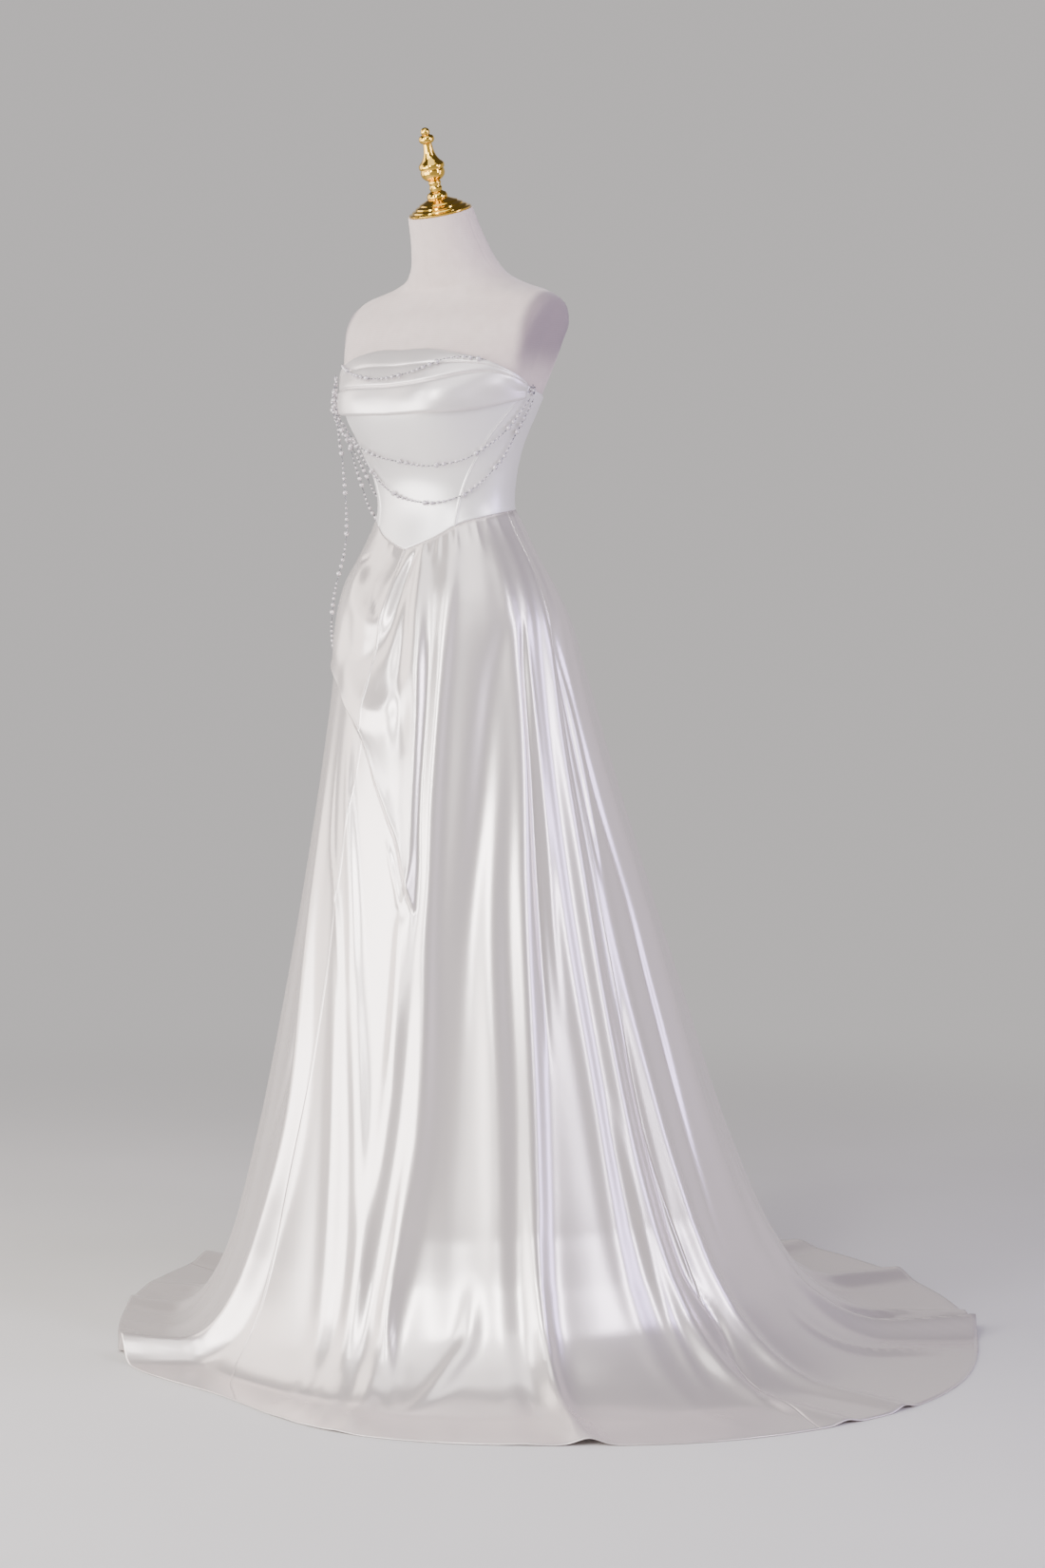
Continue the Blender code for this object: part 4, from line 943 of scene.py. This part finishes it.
WIRE_PITCH = 0.015
FINE_STEPS = 400
WIRE_THICK = 0.0007
# one run of graded beads: diameter in mm, wire to the next bead in mm, kind
BEAD_RUN = [
    (2.4, 0.8, "crystal"), (3.2, 0.7, "pearl"), (2, 0.7, "crystal"), (3.8, 0.7, "pearl"),
    (2, 0.7, "crystal"), (4.4, 0.7, "pearl"), (2.2, 0.7, "crystal"), (5.2, 0.7, "pearl"),
    (2.4, 0.7, "crystal"), (6.2, 0.8, "pearl"), (2.6, 0.8, "crystal"), (7.4, 1, "pearl"),
    (2.6, 3, "crystal"),
]

# Imitation pearl: glass bead with a pearl lacquer, creamy and clear coated; the darker grey of its random mottle
# is painted shading and dark reflection
pearl, tree, shader, place = finish_with("pearl_lacquer", {
    "Base Color": linear("#CFC7CB"), "Metallic": 0.25, "Roughness": 0.20, "Coat Weight": 0.9,
    "Coat Roughness": 0.04, "Specular IOR Level": 0.7})
fill_sockets(tree, shader, None, {"Base Color": mottled(tree, place, 140.0, 2.0, "#E0D9DB", "#A0969E")})
# Cut glass with a foil back: a small mirror, its colour painted in random bright and dark grey patches as flashes
# of reflection
crystal, tree, shader, place = finish_with("cut_glass", {
    "Base Color": linear("#A9A9B4"), "Metallic": 0.9, "Roughness": 0.05, "Coat Weight": 0.6,
    "Coat Roughness": 0.02})
fill_sockets(tree, shader, None, {"Base Color": mottled(tree, place, 500.0, 1.0, "#B4B4C0", "#2E3036")})
# Drawn steel wire: thin and smooth, its colour painted darker than bright steel as the shade in the gaps between
# the beads
wire_steel, tree, shader, place = finish_with("drawn_wire", {
    "Base Color": linear("#6E6B70"), "Metallic": 1.0, "Roughness": 0.28})
dull = add_node(tree, "ShaderNodeTexNoise", values={"Scale": 300.0}, links={"Vector": place})
gloss = add_node(tree, "ShaderNodeMapRange", values={"To Min": 0.2, "To Max": 0.4},
                 links={"Value": dull.outputs["Fac"]})
fill_sockets(tree, shader, None, {"Roughness": gloss.outputs["Result"]})


def travelled(points):
    steps = np.linalg.norm(np.diff(points, axis=0), axis=1)
    return np.concatenate(([0.0], np.cumsum(steps)))


def even_points(points, pitch):
    """Points at an even pitch along a smooth curve through the given ones."""
    points = np.array(points)
    travel = travelled(points)
    fine = np.linspace(0.0, travel[-1], FINE_STEPS)
    curve = np.stack([smooth(travel, points[:, k], fine) for k in range(3)], axis=-1)
    travel = travelled(curve)
    even = np.linspace(0.0, travel[-1], int(round(travel[-1] / pitch)) + 1)
    return np.stack([np.interp(even, travel, curve[:, k]) for k in range(3)], axis=-1)


# share of the way down the drape, stand off of a strand that lies on it
DRAPE_REACH = [(0, 0.0050), (0.10, 0.0080), (0.62, 0.0090), (0.75, 0.0135), (1.10, 0.0145),
               (1.28, 0.0110), (1.55, 0)]


def dress_stand(azimuth, height):
    """How far the drape stands off the bodice beside a strand."""
    top = float(neckline_height(azimuth))
    tall = top - float(by_azimuth(DRAPE_EDGE, azimuth))
    full = np.clip(tall / DRAPE_FULL_HEIGHT, 0.0, 1.0)
    reach = np.interp((top - height) / tall, column(DRAPE_REACH, 0), column(DRAPE_REACH, 1))
    return float(reach * full) if abs(azimuth) < DRAPE_END + 3.0 else 0.0


def laid_route(table, clearance):
    points = []
    for azimuth, height in thousandths(table, (1,)):
        near = bodice_radius(azimuth, height)
        slope = (bodice_radius(azimuth, height + SLOPE_STEP) - near) / SLOPE_STEP
        off = (STRAND_RADIUS + clearance) * math.hypot(1.0, slope)
        points.append(polar(azimuth, near + dress_stand(azimuth, height) + off, height))
    return even_points(points, WIRE_PITCH)


def hung_route(table):
    points = [polar(azimuth, np.array(radius), height)
              for azimuth, radius, height in thousandths(table, (1, 2))]
    return even_points(points, WIRE_PITCH)


# bare wire before the first bead and after the last one
FIRST_BEAD = 0.003
LAST_BEAD = 0.002
BEAD_SIDES = {"pearl": (12, 8), "crystal": (8, 4)}
BEAD_FINISHES = ("pearl", "crystal")
bead_mesh = bpy.data.meshes.new("one_bead")


def add_bead(bm, where, diameter, kind):
    """One bead: a round pearl, or a crystal with eight cut sides."""
    bead = bmesh.new()
    around_it, up_it = BEAD_SIDES[kind]
    bmesh.ops.create_uvsphere(bead, u_segments=around_it, v_segments=up_it, radius=0.5 * diameter)
    bmesh.ops.translate(bead, vec=where, verts=bead.verts)
    for face in bead.faces:
        face.smooth = kind == "pearl"
        face.material_index = BEAD_FINISHES.index(kind)
    bead.to_mesh(bead_mesh)
    bead.free()
    bm.from_mesh(bead_mesh)


def beaded_piece(name, bm):
    """Piece that holds the given beads."""
    piece = piece_from(name, bm, pearl, crystal)
    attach(piece, "root")
    return piece


def strand(name, route):
    """Wire and its graded beads."""
    curve = bpy.data.curves.new(name + "_wire", "CURVE")
    curve.dimensions = "3D"
    curve.bevel_depth = 0.5 * WIRE_THICK
    curve.bevel_resolution = 1
    curve.use_fill_caps = True
    spline = curve.splines.new("POLY")
    spline.points.add(len(route) - 1)
    for knot, point in zip(spline.points, route):
        knot.co = (*point, 1.0)
    curve.materials.append(wire_steel)
    wire = bpy.data.objects.new(name + "_wire", curve)
    bpy.context.collection.objects.link(wire)
    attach(wire, "root")

    travel = travelled(route)
    bm = bmesh.new()
    at = FIRST_BEAD
    count = 0
    while at < travel[-1] - LAST_BEAD:
        diameter, space, kind = BEAD_RUN[count % len(BEAD_RUN)]
        at += 0.0005 * diameter
        where = Vector([np.interp(at, travel, route[:, k]) for k in range(3)])
        add_bead(bm, where, 0.001 * diameter, kind)
        at += 0.0005 * diameter + 0.001 * space
        count += 1
    beads = beaded_piece(name + "_beads", bm)
    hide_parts(name)


strand("strand_top", laid_route(STRAND_TOP, DRAPE_CLEARANCE))
strand("strand_middle", laid_route(STRAND_MIDDLE, BODY_CLEARANCE))
strand("strand_low", laid_route(STRAND_LOW, BODY_CLEARANCE))
strand("strand_loop_long", hung_route(LOOP_LONG))
strand("strand_loop_middle", hung_route(LOOP_MIDDLE))
strand("strand_loop_short", hung_route(LOOP_SHORT))


# The underarm ornament: a small cluster of pearls and crystals sewn over the
# end of the drape, where the strands of the left side are hooked on.

ORNAMENT_AZIMUTH = 90.0
ORNAMENT_HEIGHT = 1.3425
SEWN_OFF = 0.0004
# distance across and up from the middle, diameter, in mm, and kind
CLUSTER = [
    (0, 0, 5, "pearl"), (4.6, 1, 3.6, "pearl"), (-4.4, 1.4, 3.8, "pearl"), (1, 4.6, 3.4, "crystal"),
    (-2.6, -4.2, 3.4, "pearl"), (3, -4.2, 3, "crystal"), (-3.2, 4.6, 2.6, "crystal"),
    (5.2, 4.4, 2.4, "crystal"), (-6.2, -2.2, 2.4, "crystal"), (6.2, -2.2, 2.4, "crystal"),
    (0.4, -7, 2.6, "pearl"), (0.2, 7.4, 2.2, "crystal"),
]
bm = bmesh.new()
for aside, up, diameter, kind in CLUSTER:
    height = ORNAMENT_HEIGHT + 0.001 * up
    near = float(bodice_radius(ORNAMENT_AZIMUTH, height))
    azimuth = ORNAMENT_AZIMUTH + math.degrees(0.001 * aside / near)
    where = Vector(polar(azimuth, np.array(near + 0.0005 * diameter + SEWN_OFF), height))
    add_bead(bm, where, 0.001 * diameter, kind)
ornament = beaded_piece("ornament_beads", bm)
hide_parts("underarm_ornament")


# The room: a plain pale floor, narrow strip lights and wide soft boxes round
# the dress, one of them overhead, and the camera at the photograph's angle.

CAMERA_DISTANCE = 4.5
CAMERA_HEIGHT = 1.1
CAMERA_AZIMUTH = math.radians(38.0)
FOCAL = 3316.0
IMAGE = (1100.0, 1650.0)
AXIS_PIXEL = 468.0
HORIZON_PIXEL = 595.0

ROOM_TINT = "#D6D2D1"
ROOM_STRENGTH = 0.90
CEILING_STRENGTH = 0.17
ROOM_LEAN = 0.14
# the floor fades into the pale room between these distances from the pole
FADE_START = 0.9
FADE_END = 3.1
FLOOR_HALF = 30.0
# share of straight up at which the room begins and ends to darken
DARK_FROM = 0.26
DARK_TO = 0.46
# height of the middle of the dress, which every light faces
AIM_HEIGHT = 0.85

# Painted floor: matt and pale, with a hardly visible drift of its tone
floor_finish, tree, shader, place = finish_with("pale_floor", {
    "Base Color": linear("#D2CFCD"), "Roughness": 0.75})
fill_sockets(tree, shader, None, {"Base Color": mottled(tree, place, 3.0, 2.0, "#D2CFCD", "#CCC9C7")})
away = add_node(tree, "ShaderNodeVectorMath", {"operation": "LENGTH"}, links={0: place})
fade = add_node(tree, "ShaderNodeMapRange", {"interpolation_type": "SMOOTHSTEP"},
                {"From Min": FADE_START, "From Max": FADE_END}, {"Value": away.outputs["Value"]})
glow = add_node(tree, "ShaderNodeEmission", values={"Color": linear(ROOM_TINT), "Strength": ROOM_STRENGTH})
blend = add_node(tree, "ShaderNodeMixShader", links={0: fade.outputs["Result"], 1: shader.outputs["BSDF"],
                                                     2: glow.outputs["Emission"]})
finish_node = next(node for node in tree.nodes if node.bl_idname == "ShaderNodeOutputMaterial")
tree.links.new(blend.outputs["Shader"], finish_node.inputs["Surface"])
bm = bmesh.new()
bmesh.ops.create_grid(bm, x_segments=2, y_segments=2, size=FLOOR_HALF)
floor = piece_from("floor", bm, floor_finish)

world = bpy.data.worlds.new("studio")
world.use_nodes = True
sky = world.node_tree
around_room = sky.nodes["Background"]
around_room.inputs["Color"].default_value = linear(ROOM_TINT)
# the room is pale up to shoulder height and darker towards the ceiling,
# a little lower down on the side that the photograph is taken from
upward = add_node(sky, "ShaderNodeVectorMath", {"operation": "DOT_PRODUCT"},
                  {1: (ROOM_LEAN * math.sin(CAMERA_AZIMUTH), -ROOM_LEAN * math.cos(CAMERA_AZIMUTH), 1.0)},
                  {0: add_node(sky, "ShaderNodeTexCoord").outputs["Generated"]})
shade = add_node(sky, "ShaderNodeMapRange", {"interpolation_type": "SMOOTHSTEP"},
                 {"From Min": DARK_FROM, "From Max": DARK_TO, "To Min": ROOM_STRENGTH, "To Max": CEILING_STRENGTH},
                 {"Value": upward.outputs["Value"]})
sky.links.new(shade.outputs["Result"], around_room.inputs["Strength"])
bpy.context.scene.world = world

# azimuth, distance, height, width, tall, watts, colour of each light
SOFT_BOXES = {
    "strip_front": (-10.0, 3.4, 2.6, 0.50, 1.8, 44.0, "#FFFFFF"),
    "strip_middle": (19.0, 3.4, 2.6, 0.50, 1.8, 78.0, "#FFFFFF"),
    "strip_side": (86.0, 3.4, 2.4, 0.45, 2.0, 70.0, "#F1ECFF"),
    "box_bodice": (-22.0, 3.2, 1.0, 3.4, 1.6, 150.0, "#FFFDFB"),
    "box_left": (-70.0, 3.0, 2.0, 2.2, 3.0, 60.0, "#FFF6EE"),
    "box_right": (112.0, 3.4, 1.5, 0.8, 2.4, 55.0, "#D2C6FF"),
    "box_top": (24.0, 2.0, 4.2, 3.0, 3.0, 62.0, "#FFFFFF"),
}
for name, (azimuth, distance, height, width, tall, watts, tint) in SOFT_BOXES.items():
    light = bpy.data.lights.new(name, "AREA")
    light.shape = "RECTANGLE"
    light.size = width
    light.size_y = tall
    light.energy = watts
    light.color = linear(tint)[:3]
    lamp = bpy.data.objects.new(name, light)
    lamp.location = polar(azimuth, np.array(distance), height)
    aim = Vector((0.0, 0.0, AIM_HEIGHT)) - lamp.location
    lamp.rotation_euler = aim.to_track_quat("-Z", "Y").to_euler()
    bpy.context.collection.objects.link(lamp)

camera = bpy.data.cameras.new("photo_camera")
camera.sensor_fit = "VERTICAL"
camera.sensor_height = 36.0
camera.lens = 36.0 * FOCAL / IMAGE[1]
view = bpy.data.objects.new("photo_camera", camera)
view.location = (CAMERA_DISTANCE * math.sin(CAMERA_AZIMUTH),
                 -CAMERA_DISTANCE * math.cos(CAMERA_AZIMUTH), CAMERA_HEIGHT)
yaw = CAMERA_AZIMUTH - math.atan((0.5 * IMAGE[0] - AXIS_PIXEL) / FOCAL)
pitch = math.atan((0.5 * IMAGE[1] - HORIZON_PIXEL) / FOCAL)
view.rotation_euler = (0.5 * math.pi - pitch, 0.0, yaw)
bpy.context.collection.objects.link(view)
bpy.context.scene.camera = view
